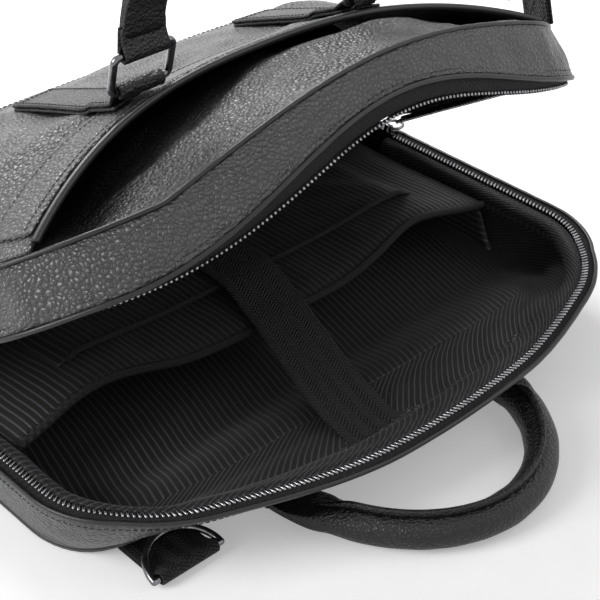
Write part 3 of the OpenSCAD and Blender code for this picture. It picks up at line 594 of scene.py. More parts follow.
# %% Piping leather
def edge_leather_finish():
    # piping leather is skived thin and pulled tight, so its grain lies almost flat
    mat, tree, bsdf = finish_named("skived black piping leather", IOR=1.47, Roughness=0.36)
    where = add(tree, "TexCoord").outputs["Object"]
    grain = add(tree, "TexNoise", {"Scale": 900.0, "Detail": 3.0}, Vector=where).outputs["Fac"]
    bump = add(tree, "Bump", {"Strength": 0.6, "Distance": 0.00012}, Height=grain)
    feed(bsdf.inputs["Normal"], bump)
    tone = add(tree, "ValToRGB", {"stops": [(0.3, "#121213"), (0.75, "#27272a")]}, grain)
    feed(bsdf.inputs["Base Color"], tone)
    return mat

edge_leather = edge_leather_finish()
print("piping:", edge_leather.name)

# %% [markdown]
# ### Striped jacquard lining
# The lining is a black jacquard with a shiny rib about every 4.3 mm. Polyester satin ribs on a
# matt ground give tone-on-tone stripes: almost the same colour, but a different gloss. Here the
# ribs' base colour is also painted much lighter than the ground, as a painted sheen. The
# stripes run along the cloth, so they are drawn in the real-size texture coordinates.

# %% Striped lining
RIB_PITCH = 0.0043      # metres from rib to rib

def striped_lining(name, turn=0.0):
    # satin ribs on a matt ground: the stripe shows by its gloss, and by a painted sheen in the ribs' lighter
    # base colour
    mat, tree, bsdf = finish_named(name, IOR=1.5, Specular_IOR_Level=0.42,
                                   Sheen_Weight=0.12, Sheen_Roughness=0.4)
    where = add(tree, "TexCoord")
    uv = add(tree, "Mapping", {"Rotation": (0, 0, math.radians(turn))}, Vector=where.outputs["UV"])
    wave = add(tree, "TexNoise", {"Scale": 30.0, "Detail": 1.0},
               Vector=where.outputs["Object"]).outputs["Fac"]
    lanes = add(tree, "SeparateXYZ", Vector=uv).outputs["X"]
    shifted = add(tree, "Math ADD", lanes, add(tree, "Math MULTIPLY", wave, 0.0022))
    saw = add(tree, "Math FRACT", add(tree, "Math DIVIDE", shifted, RIB_PITCH), 0)
    peak = add(tree, "Math ABSOLUTE", add(tree, "Math SUBTRACT", saw, 0.5), 0)
    rib = add(tree, "MapRange", peak, 0.09, 0.17, 1.0, 0.0)
    weave = add(tree, "TexWave", {"bands_direction": "DIAGONAL", "Scale": 420.0, "Distortion": 0.6},
                Vector=uv).outputs["Fac"]
    slub = add(tree, "TexNoise", {"Scale": 900.0, "Detail": 2.0}, Vector=uv).outputs["Fac"]
    yarns = add(tree, "Math ADD", add(tree, "Math MULTIPLY", weave, 0.3),
                add(tree, "Math MULTIPLY", slub, 0.3))
    height = add(tree, "Math ADD", rib, yarns)
    bump = add(tree, "Bump", {"Strength": 0.8, "Distance": 0.00022}, Height=height)
    feed(bsdf.inputs["Normal"], bump)
    # painted sheen: the ribs' base colour is much lighter than the ground between them
    tone = add(tree, "Mix", {"data_type": "RGBA"}, rib, in6=hexa("#131315"), in7=hexa("#4d4d51"))
    feed(bsdf.inputs["Base Color"], tone.outputs[2])
    feed(bsdf.inputs["Roughness"], add(tree, "MapRange", rib, 0, 1, 0.66, 0.36))
    return mat

lining = striped_lining("black striped jacquard")
lining_across = striped_lining("black striped jacquard across", 90.0)
lining_bias = striped_lining("black striped jacquard on the bias", 24.0)

print("a rib every", RIB_PITCH * 1000, "mm")

# %% [markdown]
# ### Foam, webbing and hook and loop
# The stiffener under the floor is closed-cell foam. Webbing, zip tape, binding and thread are all
# woven or twisted nylon, so one finish with another rib size serves all four. Hook and loop tape
# has a brushed pile instead, which is matt and takes no clear highlight.

# %% Padding, webbing and pile
def foam_board():
    # closed-cell foam is matt, pale grey-black and finely pitted
    mat, tree, bsdf = finish_named("closed-cell foam board", Roughness=0.85)
    where = add(tree, "TexCoord").outputs["Object"]
    pits = add(tree, "TexVoronoi", {"Scale": 1600.0}, Vector=where).outputs["Distance"]
    bump = add(tree, "Bump", {"Strength": 0.5, "Distance": 0.0002}, Height=pits)
    feed(bsdf.inputs["Normal"], bump)
    # painted shade: the colour is darker in the pits than on the ridges between them
    tone = add(tree, "ValToRGB", {"stops": [(0.0, "#2c2c2e"), (0.6, "#444446")]}, pits)
    feed(bsdf.inputs["Base Color"], tone)
    return mat

foam = foam_board()

def woven_webbing(name, colour, high, rib, rough=0.62):
    # nylon webbing: thick ribs across the strap with a finer yarn twist along it
    mat, tree, bsdf = finish_named(name, IOR=1.53, Roughness=rough, Specular_IOR_Level=0.25,
                                   Sheen_Weight=0.05)
    uv = add(tree, "TexCoord").outputs["UV"]
    parts = add(tree, "SeparateXYZ", Vector=uv)
    along, across = parts.outputs["Y"], parts.outputs["X"]
    lean = add(tree, "Math PINGPONG", across, rib * 2.2)
    skew = add(tree, "Math ADD", along, add(tree, "Math MULTIPLY", lean, 0.75))
    cord = add(tree, "Math SINE", add(tree, "Math MULTIPLY", skew, 2 * math.pi / rib), 0)
    yarn = add(tree, "Math SINE", add(tree, "Math MULTIPLY", across, 2 * math.pi / (rib * 0.8)), 0)
    knit = add(tree, "Math MULTIPLY", add(tree, "Math ADD", cord, 1.0),
               add(tree, "Math ADD", add(tree, "Math MULTIPLY", yarn, 0.3), 0.8))
    fluff = add(tree, "TexNoise", {"Scale": 1800.0, "Detail": 2.0}, Vector=uv).outputs["Fac"]
    height = add(tree, "Math ADD", knit, add(tree, "Math MULTIPLY", fluff, 0.4))
    bump = add(tree, "Bump", {"Strength": 0.9, "Distance": rib * 0.26}, Height=height)
    feed(bsdf.inputs["Normal"], bump)
    # painted highlight and painted shade: the base colour is lighter on the raised cords and darker in the
    # grooves, following the weave's height
    painted_top_light = add(tree, "MapRange", knit, 0.0, 2.0, 0.0, 1.0)
    tone = add(tree, "Mix", {"data_type": "RGBA"}, painted_top_light, in6=hexa(colour), in7=hexa(high))
    feed(bsdf.inputs["Base Color"], tone.outputs[2])
    return mat

def brushed_pile():
    # hook and loop tape is a brushed nylon pile: matt, with a sheen where it is seen from the side
    mat, tree, bsdf = finish_named("brushed nylon pile", IOR=1.53, Roughness=0.9,
                                   Specular_IOR_Level=0.2, Sheen_Weight=0.3)
    where = add(tree, "TexCoord").outputs["Object"]
    tufts = add(tree, "TexNoise", {"Scale": 1100.0, "Detail": 4.0, "Roughness": 0.7},
                Vector=where).outputs["Fac"]
    bump = add(tree, "Bump", {"Strength": 1.0, "Distance": 0.0007}, Height=tufts)
    feed(bsdf.inputs["Normal"], bump)
    tone = add(tree, "ValToRGB", {"stops": [(0.35, "#050506"), (0.7, "#262628")]}, tufts)
    feed(bsdf.inputs["Base Color"], tone)
    return mat

pile_nylon = brushed_pile()
webbing = woven_webbing("black nylon webbing", "#030304", "#29292b", 0.0024)
zip_tape = woven_webbing("black woven zip tape", "#0f0f10", "#242426", 0.0009, 0.7)
binding = woven_webbing("black grosgrain binding", "#0e0e0f", "#262628", 0.0012, 0.55)
thread = woven_webbing("black bonded nylon thread", "#141415", "#37373a", 0.0006, 0.45)
print("woven finishes:", webbing.name, zip_tape.name, binding.name, thread.name, sep=", ")

# %% [markdown]
# ### Plated metal
# Rings, sliders and teeth are zinc castings with a black-nickel plate. It is a dark mirror that
# is a little rubbed on its high spots. A metal keeps the default index, and only its colour and
# roughness change.

# %% Metals
def plated(name, colour, high, rough):
    mat, tree, bsdf = finish_named(name, Metallic=1.0, Roughness=rough)
    where = add(tree, "TexCoord").outputs["Object"]
    cloud = add(tree, "TexNoise", {"Scale": 240.0, "Detail": 4.0}, Vector=where).outputs["Fac"]
    feed(bsdf.inputs["Base Color"], add(tree, "ValToRGB", {"stops": [(0.3, colour), (0.7, high)]}, cloud))
    feed(bsdf.inputs["Roughness"], add(tree, "MapRange", cloud, 0.3, 0.7, rough - 0.04, rough + 0.07))
    scratch = add(tree, "TexNoise", {"Scale": 2400.0, "Detail": 2.0}, Vector=where).outputs["Fac"]
    bump = add(tree, "Bump", {"Strength": 0.15, "Distance": 0.00005}, Height=scratch)
    feed(bsdf.inputs["Normal"], bump)
    return mat

hardware = plated("black nickel plate", "#5f5f62", "#8a8a8d", 0.17)
tooth_metal = plated("rubbed nickel teeth", "#77777a", "#a9a9ac", 0.26)

def dress(ob, material, body):
    """one finish for a piece, and the body it rides on"""
    ob.data.materials.clear()
    ob.data.materials.append(material)
    if body:
        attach(ob, body)
    return ob

REAR, FRONT = "rear_section", "front_section"
print("materials:", [m.name for m in bpy.data.materials])

# %% [markdown]
# ## Rear half: the tray that holds the laptop
# The rear half is a soft tray. A leather wall stands on the back panel, a corded piping closes
# the rim, and inside it runs the zip. Leather that has been carried sags a little between its
# seams, so the wall gets broad shallow waves that die out where it is sewn.

# %% Back panel
def corner_cut(x, hw, yf, r):
    e = np.clip(np.abs(x) - (hw - r), 0, r)
    return yf + r - np.sqrt(r * r - e * e)

def tray_sheet(hw, yf, r, back_r, z, rows=44, cols=61):
    "a sheet in the plan shape of the rear half"
    u = columns(cols)
    s = np.linspace(0, 1, rows)[:, None]
    x = np.broadcast_to(hw * u, (rows, cols))
    front = corner_cut(x, hw, yf, r)
    back = FOLD_Y + BAND + (back_r - BAND) * crown(np.broadcast_to(u, x.shape))
    y = mix(front, back, s)
    return np.stack([x, y, back_lift(x, y) + z], -1)

g = tray_sheet(192, -121, 60, 96, 0.0)
back_panel = skin("back_panel_leather", g, 2.2, (0, 0, -1))
dress(back_panel, shell_leather, REAR)
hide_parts("rear_panel", "rear_yoke")

print("back panel:", len(back_panel.data.polygons), "faces")

# %% Tray wall and its piping
levels = np.linspace(0.02, 1, 13)
g = np.stack([wall_ring(q, 0.0, 1.7 * (1 - q) ** 4) for q in levels])
fade = np.sin(np.pi * clamp01(levels))[:, None] ** 0.7
slack = np.maximum(ripple(g, 2.6, 58, 1, 3, (1, 1, 1.6)) * fade - 0.9 * fade, -1.5)
front_part = clamp01((-g[..., 1] - 60) / 60)
g = pushed(g, slack * mix(0.55, 1.0, front_part), "out", True)
wall = skin("tray_wall_leather", g, 2.2, "out", True)
dress(wall, shell_leather, REAR)
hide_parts("rear_wall")

foot = tube("tray_foot_piping", wall_ring(0.03, 0.3, 1.2), 1.3, 8, closed=True)
dress(foot, edge_leather, REAR)
line = wall_ring(1.0, 0.6, 1.8)
rim = tube("tray_rim_piping", line, 1.5 + 0.06 * np.sin(np.arange(len(line)) * 1.7), 12, closed=True)
dress(rim, edge_leather, REAR)
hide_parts("rear_piping")
low = wall_ring(0.93, -0.12)
edge_stitch = stitches("tray_rim_stitches", low, UP, 3.6, 2.6, 0.3)
dress(edge_stitch, thread, REAR)
foam_board_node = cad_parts["rear_foam"]
foam_board_node.data.materials.clear()
foam_board_node.data.materials.append(foam)
print("wall reaches", round(max(v.co.z for v in wall.data.vertices) * 1000, 1), "mm")

# %% [markdown]
# ### The zip
# A coil zip is a plastic or metal monofilament wound round a cord and sewn to a woven tape. From
# arm's length it reads as a bright ladder of slanted bars. Each bar is a small rounded capsule
# set across the line with a lean of 24 degrees, 2.8 mm apart.

# %% Tape and teeth
TOOTH_PITCH, TOOTH_LEAN = 2.8, 24

def zip_side(kind, lines, nodes, body, up):
    "tape, teeth and cord of one side; the first three lines carry the tape, the last the teeth"
    teeth_line = lines[3]
    tape = skin(kind + "_zip_tape", np.stack(lines[:3]), 0.8, up)
    dress(tape, zip_tape, body)
    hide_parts(nodes[0])
    pts = spaced(teeth_line, TOOTH_PITCH)
    t, s, u = frames_along(pts, up)
    c, d = math.cos(math.radians(TOOTH_LEAN)), math.sin(math.radians(TOOTH_LEAN))
    places = [place_at(p, c * b + d * a, c * a - d * b, n) for p, a, b, n in zip(pts, t, s, u)]
    v, f = capsule(5.0, 0.74, 8, 1.3)
    teeth = many(kind + "_zip_teeth", v, f, places)
    dress(teeth, tooth_metal, body)
    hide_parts(nodes[1])
    core = tube(kind + "_zip_cord", spaced(teeth_line, 3.0) - np.asarray(up) * 0.35, 0.62, 6, up)
    dress(core, zip_tape, body)
    print(kind, "zip:", len(places), "teeth")

tray_lines = [rim_rear(TAPE_OUT, 1.9), rim_rear(TAPE_MID, 2.0), rim_rear(TAPE_IN, 2.1),
              rim_rear(TEETH_IN, 2.2)]
zip_side("tray", tray_lines, ("rear_tape", "rear_chain"), REAR, UP)

# %% [markdown]
# ### Lining of the tray
# The wall is padded inside: the striped cloth rolls over a soft rope of foam below the zip and
# drops to the floor. The rolled edge is never even, so its thickness wanders by a millimetre.

# %% Floor, wall and padded rim
def sprinkle(g, folds, seed):
    "long shallow folds: each is x0, y0, x1, y1, height, width"
    h = np.zeros(g.shape[:2])
    for x0, y0, x1, y1, height, width in folds:
        d = np.array([x1 - x0, y1 - y0], float)
        t = ((g[..., 0] - x0) * d[0] + (g[..., 1] - y0) * d[1]) / (d @ d)
        off = np.hypot(g[..., 0] - x0 - t * d[0] + 3 * np.sin(t * 5 + seed),
                       g[..., 1] - y0 - t * d[1] + 3 * np.sin(t * 4 + seed))
        h += height * np.exp(-(off / width) ** 2) * ease(t / 0.25) * ease((1 - t) / 0.3)
    return h

g = tray_sheet(186, -115, 55, 90, FLOOR + 1.2, 40, 57)
g[..., 2] += np.maximum(0, ripple(g, 1.6, 70, 4, 3)) + 0.2
floor_cloth = skin("tray_floor_lining", g, 1.0, UP)
dress(floor_cloth, lining, REAR)
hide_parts("floor_lining")

g = np.stack([wall_ring(q, 4.2 + 0.4 * (q > 0.95)) for q in np.linspace(0.2, 1, 9)])
g = pushed(g, -np.abs(ripple(g, 0.8, 40, 5)), "out", True)
wall_cloth = skin("tray_wall_lining", g, 1.0, "in", True)
dress(wall_cloth, lining_across, REAR)
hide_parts("wall_lining")

print("wall lining:", len(wall_cloth.data.polygons), "faces")

# %% The padded roll under the zip
# the roll's section: how far in from the wall, and how high over the table
profile = [(9.4, 46.0), (10.6, 47.2), (12.6, 48.0), (14.8, 47.8), (16.9, 46.6), (18.3, 44.4), (18.5, 41.8),
           (17.2, 39.2), (14.4, 36.8), (11.6, 33.4), (9.9, 29.0), (8.9, 24.0), (8.3, 19.0), (7.8, 14.0),
           (7.5, 10.5)]
n_front = len(rim_rear(0, 0))

def roll_row(d, z):
    raised = max(0.0, z - DEPTH) + 3.8 * (1 - float(ease((z - 20) / 14)))
    return wall_ring(min(1.0, (z - 1) / (DEPTH - 1)), d, raised)[2:n_front - 2]

rows = [roll_row(d, z) for d, z in profile]
# below the roll the same cloth runs on as a skirt, under the front edge of the floor cloth
skirt = [(0.17, 8.5, 4.3), (0.13, 12.0, 4.6), (0.11, 18.0, 4.2), (0.1, 26.0, 3.2), (0.09, 36.0, 1.6),
         (0.08, 46.0, 0.0)]
rows += [wall_ring(q, d, dz)[2:n_front - 2] for q, d, dz in skirt]
g = np.stack(rows)
swell = np.concatenate([np.sin(np.pi * np.linspace(0, 1, len(profile))), np.zeros(len(skirt))])
puff = ripple(g, 1.3, 34, 8, 2) * swell[:, None]
g = pushed(g, puff, UP)
rim_pad = skin("tray_rim_padding", g, 1.2, UP)
dress(rim_pad, lining_bias, REAR)
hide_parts("rim_roll")
line = rows[2]
seam = stitches("tray_lining_stitches", line + [0, 0, 0.25], UP, 3.2, 2.3, 0.22)
dress(seam, thread, REAR)
print("rim padding:", len(rows), "rows of", len(rows[0]), "points")

# %% [markdown]
# ### Padded laptop sleeve
# A quilted panel lies over the laptop space. It is cloth over 4 mm foam, sewn at both long
# sides, with its front edge bound in grosgrain. An empty sleeve waves: the edge stands up where
# the foam pushes it and dips where the strap holds it.

# %% Sleeve
def sleeve_puff(x):
    return np.exp(-((np.abs(x) - 125) / 45) ** 2)

def sleeve_z(x, y):
    return FLOOR + 1.2 + SLEEVE_H + 4.6 + 3.4 * (1 - (np.abs(x) / SLEEVE_HW) ** 4) \
        + 8 * sleeve_puff(x) * (1 - ease((y + 46) / 90))

def sleeve_front(x):
    return -46 + 12.6 * sleeve_puff(x) + 4 * (np.abs(x) / SLEEVE_HW) ** 6

def sleeve_grid(rows=46, cols=83):
    x = np.broadcast_to(SLEEVE_HW * np.linspace(-1, 1, cols), (rows, cols))
    s = np.linspace(0, 1, rows)[:, None] ** 1.3
    y = mix(sleeve_front(x), 148 - 40 * (np.abs(x) / SLEEVE_HW) ** 6, s)
    return np.stack([x, y, sleeve_z(x, y)], -1)

g = sleeve_grid()
x, y = g[..., 0], g[..., 1]
edge = clamp01((SLEEVE_HW - np.abs(x)) / 14) * clamp01((y - sleeve_front(x)) / 7)
folds = [(-150, -30, -96, 70, 1.5, 8), (-110, -34, -70, 30, 1.2, 7), (148, -34, 104, 66, 1.5, 9),
         (96, -30, 60, 28, 1.0, 7), (-40, -40, -20, 10, 0.9, 6), (40, -42, 24, 0, 0.9, 6)]
slack = 0.5 + np.abs(ripple(g, 1.1, 46, 11, 3)) + 0.7 * sprinkle(g, folds, 2)
g[..., 2] += ease(edge) * slack - 0.7 * (1 - ease(edge))
sleeve = skin("laptop_sleeve_panel", g, 4.0, UP)
dress(sleeve, lining, REAR)
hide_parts("sleeve_panel")

print("sleeve panel:", len(sleeve.data.polygons), "faces")

# %% Sleeve binding and its sides
x = np.linspace(-SLEEVE_HW, SLEEVE_HW, 110)
line = np.stack([x, sleeve_front(x) - 1.9, sleeve_z(x, sleeve_front(x)) - 2.0 + 0.25 * np.sin(x / 9)], 1)
bound = tube("laptop_sleeve_binding", line, 2.7, 14, squash=0.86)
dress(bound, binding, REAR)
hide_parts("sleeve_binding")
row = np.stack([x, sleeve_front(x) + 0.9, sleeve_z(x, sleeve_front(x) + 0.9) + 0.15], 1)
dress(stitches("laptop_sleeve_stitches", row, UP, 3.0, 2.2, 0.24), thread, REAR)
corner_z = sleeve_z(SLEEVE_HW, 100) - 3.6

for side in (-1, 1):
    y = np.linspace(-54, 102, 40)
    z = np.linspace(0, 1, 9)[:, None]
    top = np.where(y < -38, mix(FLOOR + 2, corner_z, ease((y + 54) / 16)), corner_z)
    zz = mix(FLOOR + 1.4, top, z)
    xx = side * (SLEEVE_HW - 0.3 - 1.6 * np.sin(np.pi * z) * (1 + 0.4 * np.sin(y / 13)))
    wing = skin("sleeve_side_" + ("left" if side < 0 else "right"),
                np.stack([xx, np.broadcast_to(y, xx.shape), zz], -1), 1.1, (side, 0, 0))
    dress(wing, lining_across, REAR)
    if side < 0:
        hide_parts("sleeve_gussets")
print("sleeve corners stand", round(float(corner_z), 1), "mm high")

# %% [markdown]
# ### Slip pocket on the sleeve
# A flat pocket is sewn on three sides of the sleeve panel. Its mouth gapes a little, its corners
# are tacked with dense stitches, and a plain seam runs 3 mm inside its edge.

# %% Slip pocket
SLIP_L, SLIP_R, SLIP_F, SLIP_B = -132, 150, -8, 132

def slip_grid(rows=34, cols=62):
    x = np.broadcast_to(np.linspace(SLIP_L, SLIP_R, cols), (rows, cols))
    y = np.broadcast_to(np.linspace(SLIP_F, SLIP_B, rows)[:, None], (rows, cols))
    side = np.minimum(x - SLIP_L, SLIP_R - x)
    rise = ease(side / 15) * ease((SLIP_B - y) / 20)
    return np.stack([x, y, sleeve_z(x, y) + 2.2 + 4.8 * rise], -1), rise

g, rise = slip_grid()
folds = [(-118, 0, -60, 60, 1.6, 7), (138, -4, 84, 58, 1.8, 8)]
g[..., 2] += rise * (ripple(g, 1.2, 42, 17, 3) - 0.4 + 0.8 * sprinkle(g, folds, 3))
slip = skin("slip_pocket_cloth", g, 1.1, UP)
dress(slip, lining, REAR)
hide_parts("slip_pocket")
x = np.linspace(SLIP_L + 6, SLIP_R - 6, 90)
side = np.minimum(x - SLIP_L, SLIP_R - x)
top = sleeve_z(x, SLIP_F) + 2.2 + 4.8 * ease(side / 15)
line = np.stack([x, np.full(len(x), SLIP_F - 1.3), top - 0.4], 1)
bound = tube("slip_pocket_binding", line, 1.9, 12, squash=0.9)
dress(bound, binding, REAR)
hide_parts("slip_binding")
row = np.concatenate([[[SLIP_L + 3, yy] for yy in np.linspace(SLIP_F + 4, SLIP_B - 4, 40)],
                      [[xx, SLIP_B - 4] for xx in np.linspace(SLIP_L + 4, SLIP_R - 4, 60)],
                      [[SLIP_R - 3, yy] for yy in np.linspace(SLIP_B - 4, SLIP_F + 4, 40)]])
inset = np.minimum(row[:, 0] - SLIP_L, SLIP_R - row[:, 0])
z = sleeve_z(row[:, 0], row[:, 1]) + 2.45 + 4.8 * ease(inset / 15) * ease((SLIP_B - row[:, 1]) / 20)
dress(stitches("slip_pocket_stitches", np.column_stack([row, z]), UP, 3.0, 2.2, 0.24),
      thread, REAR)
print("slip pocket opens", SLIP_R - SLIP_L, "mm wide")

# %% [markdown]
# ### Laptop strap
# A webbing strap starts at the tray wall, crosses the mouth of the sleeve and grips the slip
# pocket with hook and loop. Webbing is woven flat, so it bends only along its length, and its
# cut end is folded and sewn with a box of stitches.

# %% Strap with hook and loop
STRAP_Y0, STRAP_Z0 = -146, 29
STRAP_TOP = sleeve_z(np.array(0.0), SLIP_F) + 9.4

def strap_x(y):
    return mix(-24, 4, ease((y - STRAP_Y0) / 150))

def strap_z(y):
    edge_z = sleeve_z(np.array(0.0), -46) + 2.6
    low = mix(STRAP_Z0, edge_z, np.clip((y - STRAP_Y0) / (-48 - STRAP_Y0), 0, 1) ** 0.9)
    return np.where(y < -48, low, mix(edge_z, STRAP_TOP, ease((y + 48) / 36)))

def strap_grid(y0, y1, half, lift, n=70, m=9):
    y = np.linspace(y0, y1, n)
    s = np.linspace(-1, 1, m)[:, None]
    x = strap_x(y) + s * half
    z = strap_z(y) + lift - 0.35 * s ** 2 * np.ones_like(x)
    return np.stack([x, np.broadcast_to(y, x.shape), z], -1).transpose(1, 0, 2)

strap = skin("laptop_strap_webbing", strap_grid(STRAP_Y0 - 7, 42, WEB_W / 2, 1.8), 1.7, UP)
dress(strap, webbing, None)
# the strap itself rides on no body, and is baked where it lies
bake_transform(strap)
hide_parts("laptop_strap")
hem = skin("laptop_strap_hem", strap_grid(14, 41.5, WEB_W / 2 - 0.6, 3.1, 16), 1.3, UP)
dress(hem, webbing, "laptop_strap")
print("strap reaches", round(float(STRAP_TOP), 1), "mm up")

# %% Strap threads and its hook and loop
box_x, box_y = WEB_W / 2 - 4, (17, 38)
corners = [(-box_x, box_y[0]), (box_x, box_y[0]), (box_x, box_y[1]), (-box_x, box_y[1]), (-box_x, box_y[0])]
row = np.concatenate([np.linspace(a, b, 12, endpoint=False) for a, b in zip(corners, corners[1:])])
row = np.column_stack([row[:, 0] + strap_x(row[:, 1]), row[:, 1], strap_z(row[:, 1]) + 3.2])
box_thread = stitches("laptop_strap_stitches", row, UP, 2.6, 2.0, 0.26)
dress(box_thread, thread, "laptop_strap")

def pile(name, lift, thick, body, node, follow):
    "hook or loop tape: a thin pad with a furred face"
    y = np.linspace(4, 38, 12)
    s = np.linspace(-1, 1, 9)[:, None]
    x = strap_x(y) + s * 16
    z = (sleeve_z(x, y) + 7.8) if follow else np.full_like(x, STRAP_TOP - 0.2)
    g = np.stack([x, np.broadcast_to(y, x.shape), z + lift], -1).transpose(1, 0, 2)
    ob = skin(name, g, thick, UP)
    dress(ob, pile_nylon, body)
    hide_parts(node)

pile("loop_tape", 0.0, 0.9, REAR, "loop_patch", True)
pile("hook_tape", 0.0, 0.8, "laptop_strap", "hook_patch", False)
print("strap width", WEB_W, "mm")

# %% [markdown]
# ## Rounded bottom end
# One leather wraps the bottom end from the back panel to the front, and the front half turns on
# it like a hinge. It is a single arched skin. The lining inside is made in the same way.

# %% Arched leather and its lining
def arch(radius_at, half_at, a0, a1, rows=40, cols=75):
    "skin about the fold line; angles are measured from straight up toward the back"
    u = columns(cols)
    a = np.radians(np.linspace(a0, a1, rows))[:, None]
    deg = np.degrees(a)
    r = radius_at(np.broadcast_to(u, (rows, cols)), np.broadcast_to(deg, (rows, cols)))
    x = np.broadcast_to(u, (rows, cols)) * half_at(np.broadcast_to(deg, (rows, cols)))
    return np.stack([x, FOLD_Y + r * np.sin(a), FOLD_Z + r * np.cos(a)], -1)

def with_sides(g, rows_in=5):
    "carries the two ends of an arch on toward the fold line"
    ends = []
    for k in (0, -1):
        e = g[:, k]
        c = np.array([0, FOLD_Y, FOLD_Z]) * [0, 1, 1] + e * [1, 0, 0]
        v = e - c
        r = np.linalg.norm(v, axis=1, keepdims=True)
        ends.append([c + v / r * (10 + (r - 10) * s) for s in np.arange(rows_in) / rows_in])
    left, right = np.stack(ends[0], 1), np.stack(ends[1][::-1], 1)
    return np.concatenate([left, g, right], 1)

def outer_inset(deg):
    "the leather starts lower at the cover, where its edge is tucked under the pocket"
    return 2.9 * (1 - ease((deg - 30) / 7)) + 0.05

g = arch(lambda u, a: BAND + (ROUND - outer_inset(a) - BAND) * crown(u),
         lambda a: HALF - 0.2 - outer_inset(a), 28, 90)
g = with_sides(g)
deg = np.degrees(np.arctan2(g[..., 1] - FOLD_Y, g[..., 2] - FOLD_Z))
fade = ease((deg - 33) / 12) * ease((89 - deg) / 9)
g = pushed(g, fade * (ripple(g, 2.6, 52, 21, 3, (1, 1.5, 1.5)) - 1.1), (0, 1, 0.6))
arch_leather = skin("bottom_end_leather", g, 2.0, (0, 1, 0.6))
dress(arch_leather, shell_leather, None)
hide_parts("base_shell", "fold_leather")

LINED_LOW, LINED_HIGH = 29, 98.2  # the lining's radius at the sides and in the middle
g = arch(lambda u, a: LINED_LOW + (LINED_HIGH - LINED_LOW) * ease((a + 4) / 58) * crown(u),
         lambda a: HALF - 6.2 + 0 * a, -2, 90, 36)
g = pushed(g, -np.abs(ripple(g, 1.6, 44, 23, 3)), (0, 1, 0.6))
arch_lining = skin("bottom_end_lining", g, 1.0, (0, -1, -0.6))
dress(arch_lining, lining_across, None)
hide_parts("base_lining")

for piece in (arch_leather, arch_lining):
    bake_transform(piece)
print("bottom end bends about y", FOLD_Y, "z", FOLD_Z)

# %% [markdown]
# ## Front half: the lifted cover
# The front half is built closed, in its own frame at the fold line, and then opened with the
# same turn as the solid model. Its rim is pulled up in the middle by its own stiffness. The
# band between rim and seam buckles in short folds where the corners turn.

# %% Front band
low = rim_front(0.0, 4.4, -7)
# the band is cut back where the pulls lie beside the hinge
low[:, 2] += 1.5 * ease((low[:, 1] + 34) / 12)
g = np.stack([mix(low, seam_front_line(0.0, BAND - 0.6, -7), t) for t in np.linspace(0, 1, 11)])
belly = np.sin(np.pi * np.linspace(0, 1, 11))[:, None]
turned = bump_at(np.abs(g[..., 0]), 168, 34) * bump_at(g[..., 1], -175, 50)
waves = ripple(g, 4.4, 36, 31, 3, (1, 1, 0.3)) * (0.6 + 0.8 * turned)
beside = ease((g[..., 1] + 150) / 40)
g = pushed(g, belly * mix(waves + 1.2, -0.4 * np.abs(waves), beside), "out")
band = skin("front_band_leather", opened(g), 2.1, "out")
dress(band, shell_leather, FRONT)
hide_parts("front_gusset")

print("front band:", len(band.data.polygons), "faces")

# %% Cover rim, seam and zip
rim_line = opened(rim_front(0.8, 2.6, -19))
wander = 1.5 + 0.07 * np.sin(np.arange(len(rim_line)) * 1.3)
lid_rim = tube("front_rim_piping", rim_line, wander, 12, lid_up)
dress(lid_rim, edge_leather, FRONT)
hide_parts("front_rim_piping")
seam_line = opened(seam_front_line(0.9, BAND + 0.9, -10))
wander = 1.3 + 0.1 * np.sin(np.arange(len(seam_line)) * 2.1)
lid_seam = tube("front_seam_piping", seam_line, wander, 12, lid_up)
dress(lid_seam, edge_leather, FRONT)
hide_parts("front_seam_piping")

cover_lines = [droop(TAPE_OUT, 2.3, -20), droop(TAPE_MID, 2.1, -20), droop(TAPE_IN, 1.8, -20),
               droop(TEETH_IN, 1.6, -21)]
zip_side("front", [opened(line) for line in cover_lines], ("front_tape", "front_chain"), FRONT, -lid_up)
row = mix(rim_front(-0.1, 4.4, -19), seam_front_line(-0.1, BAND - 0.6, -19), 0.1)
under = stitches("front_rim_stitches", opened(row), lid_up, 3.6, 2.6, 0.3)
dress(under, thread, FRONT)
print("cover rim line:", len(rim_line), "points")

# %% [markdown]
# ### Inside of the cover
# The main compartment is lined across the cover with the same striped cloth, over a thin pad.
# It hangs a little between its seams, and a narrow band of lining closes the side.

# %% Cover lining
CEIL = BAND - 10

def ceiling_lift(x, y):
    return 0.62 * rim_up(x, y)

outer = rim_front(2.9, 5.4, -14)
x, y = lid_plan(2.9, 2.1, -14)
inner = np.stack([drawn(x, y), y, CEIL - 0.4 + ceiling_lift(x, y)], 1)
g = np.stack([mix(outer, inner, t) for t in np.linspace(0, 1, 6)])
g = pushed(g, -np.abs(ripple(g, 0.9, 26, 37, 2)) * np.sin(np.pi * np.linspace(0, 1, 6))[:, None], "out")
side_lining = skin("cover_side_lining", opened(g), 1.0, "in")
dress(side_lining, lining_across, FRONT)
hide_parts("front_gusset_lining")

print("side lining:", len(side_lining.data.polygons), "faces")

# %% Lining over the cover's pad
rows, cols = 34, 63
u = columns(cols)
hw = HALF - 8.2
x = np.broadcast_to(hw * u, (rows, cols))
front = corner_cut(x, hw, -SEAM_Y - 3 + 8.4, CORNER - 9) - bowed(x, BOW)
y = mix(front, -16, np.linspace(0, 1, rows)[:, None])
z = CEIL + ceiling_lift(x, y)
edge = ease(clamp01((hw - np.abs(x)) / 18)) * ease(clamp01((y - front) / 16)) * ease(clamp01((-16 - y) / 14))
hang = np.abs(ripple(np.stack([x, y, z], -1), 1.8, 52, 41, 3))
g = np.stack([x, y, z + 0.4 + edge * hang], -1)
ceiling = skin("cover_lining", opened(g), 3.0, -lid_up)
dress(ceiling, lining, FRONT)
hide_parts("front_ceiling")
print("cover lining swells by", round(float((edge * hang).max()), 2), "mm at most")

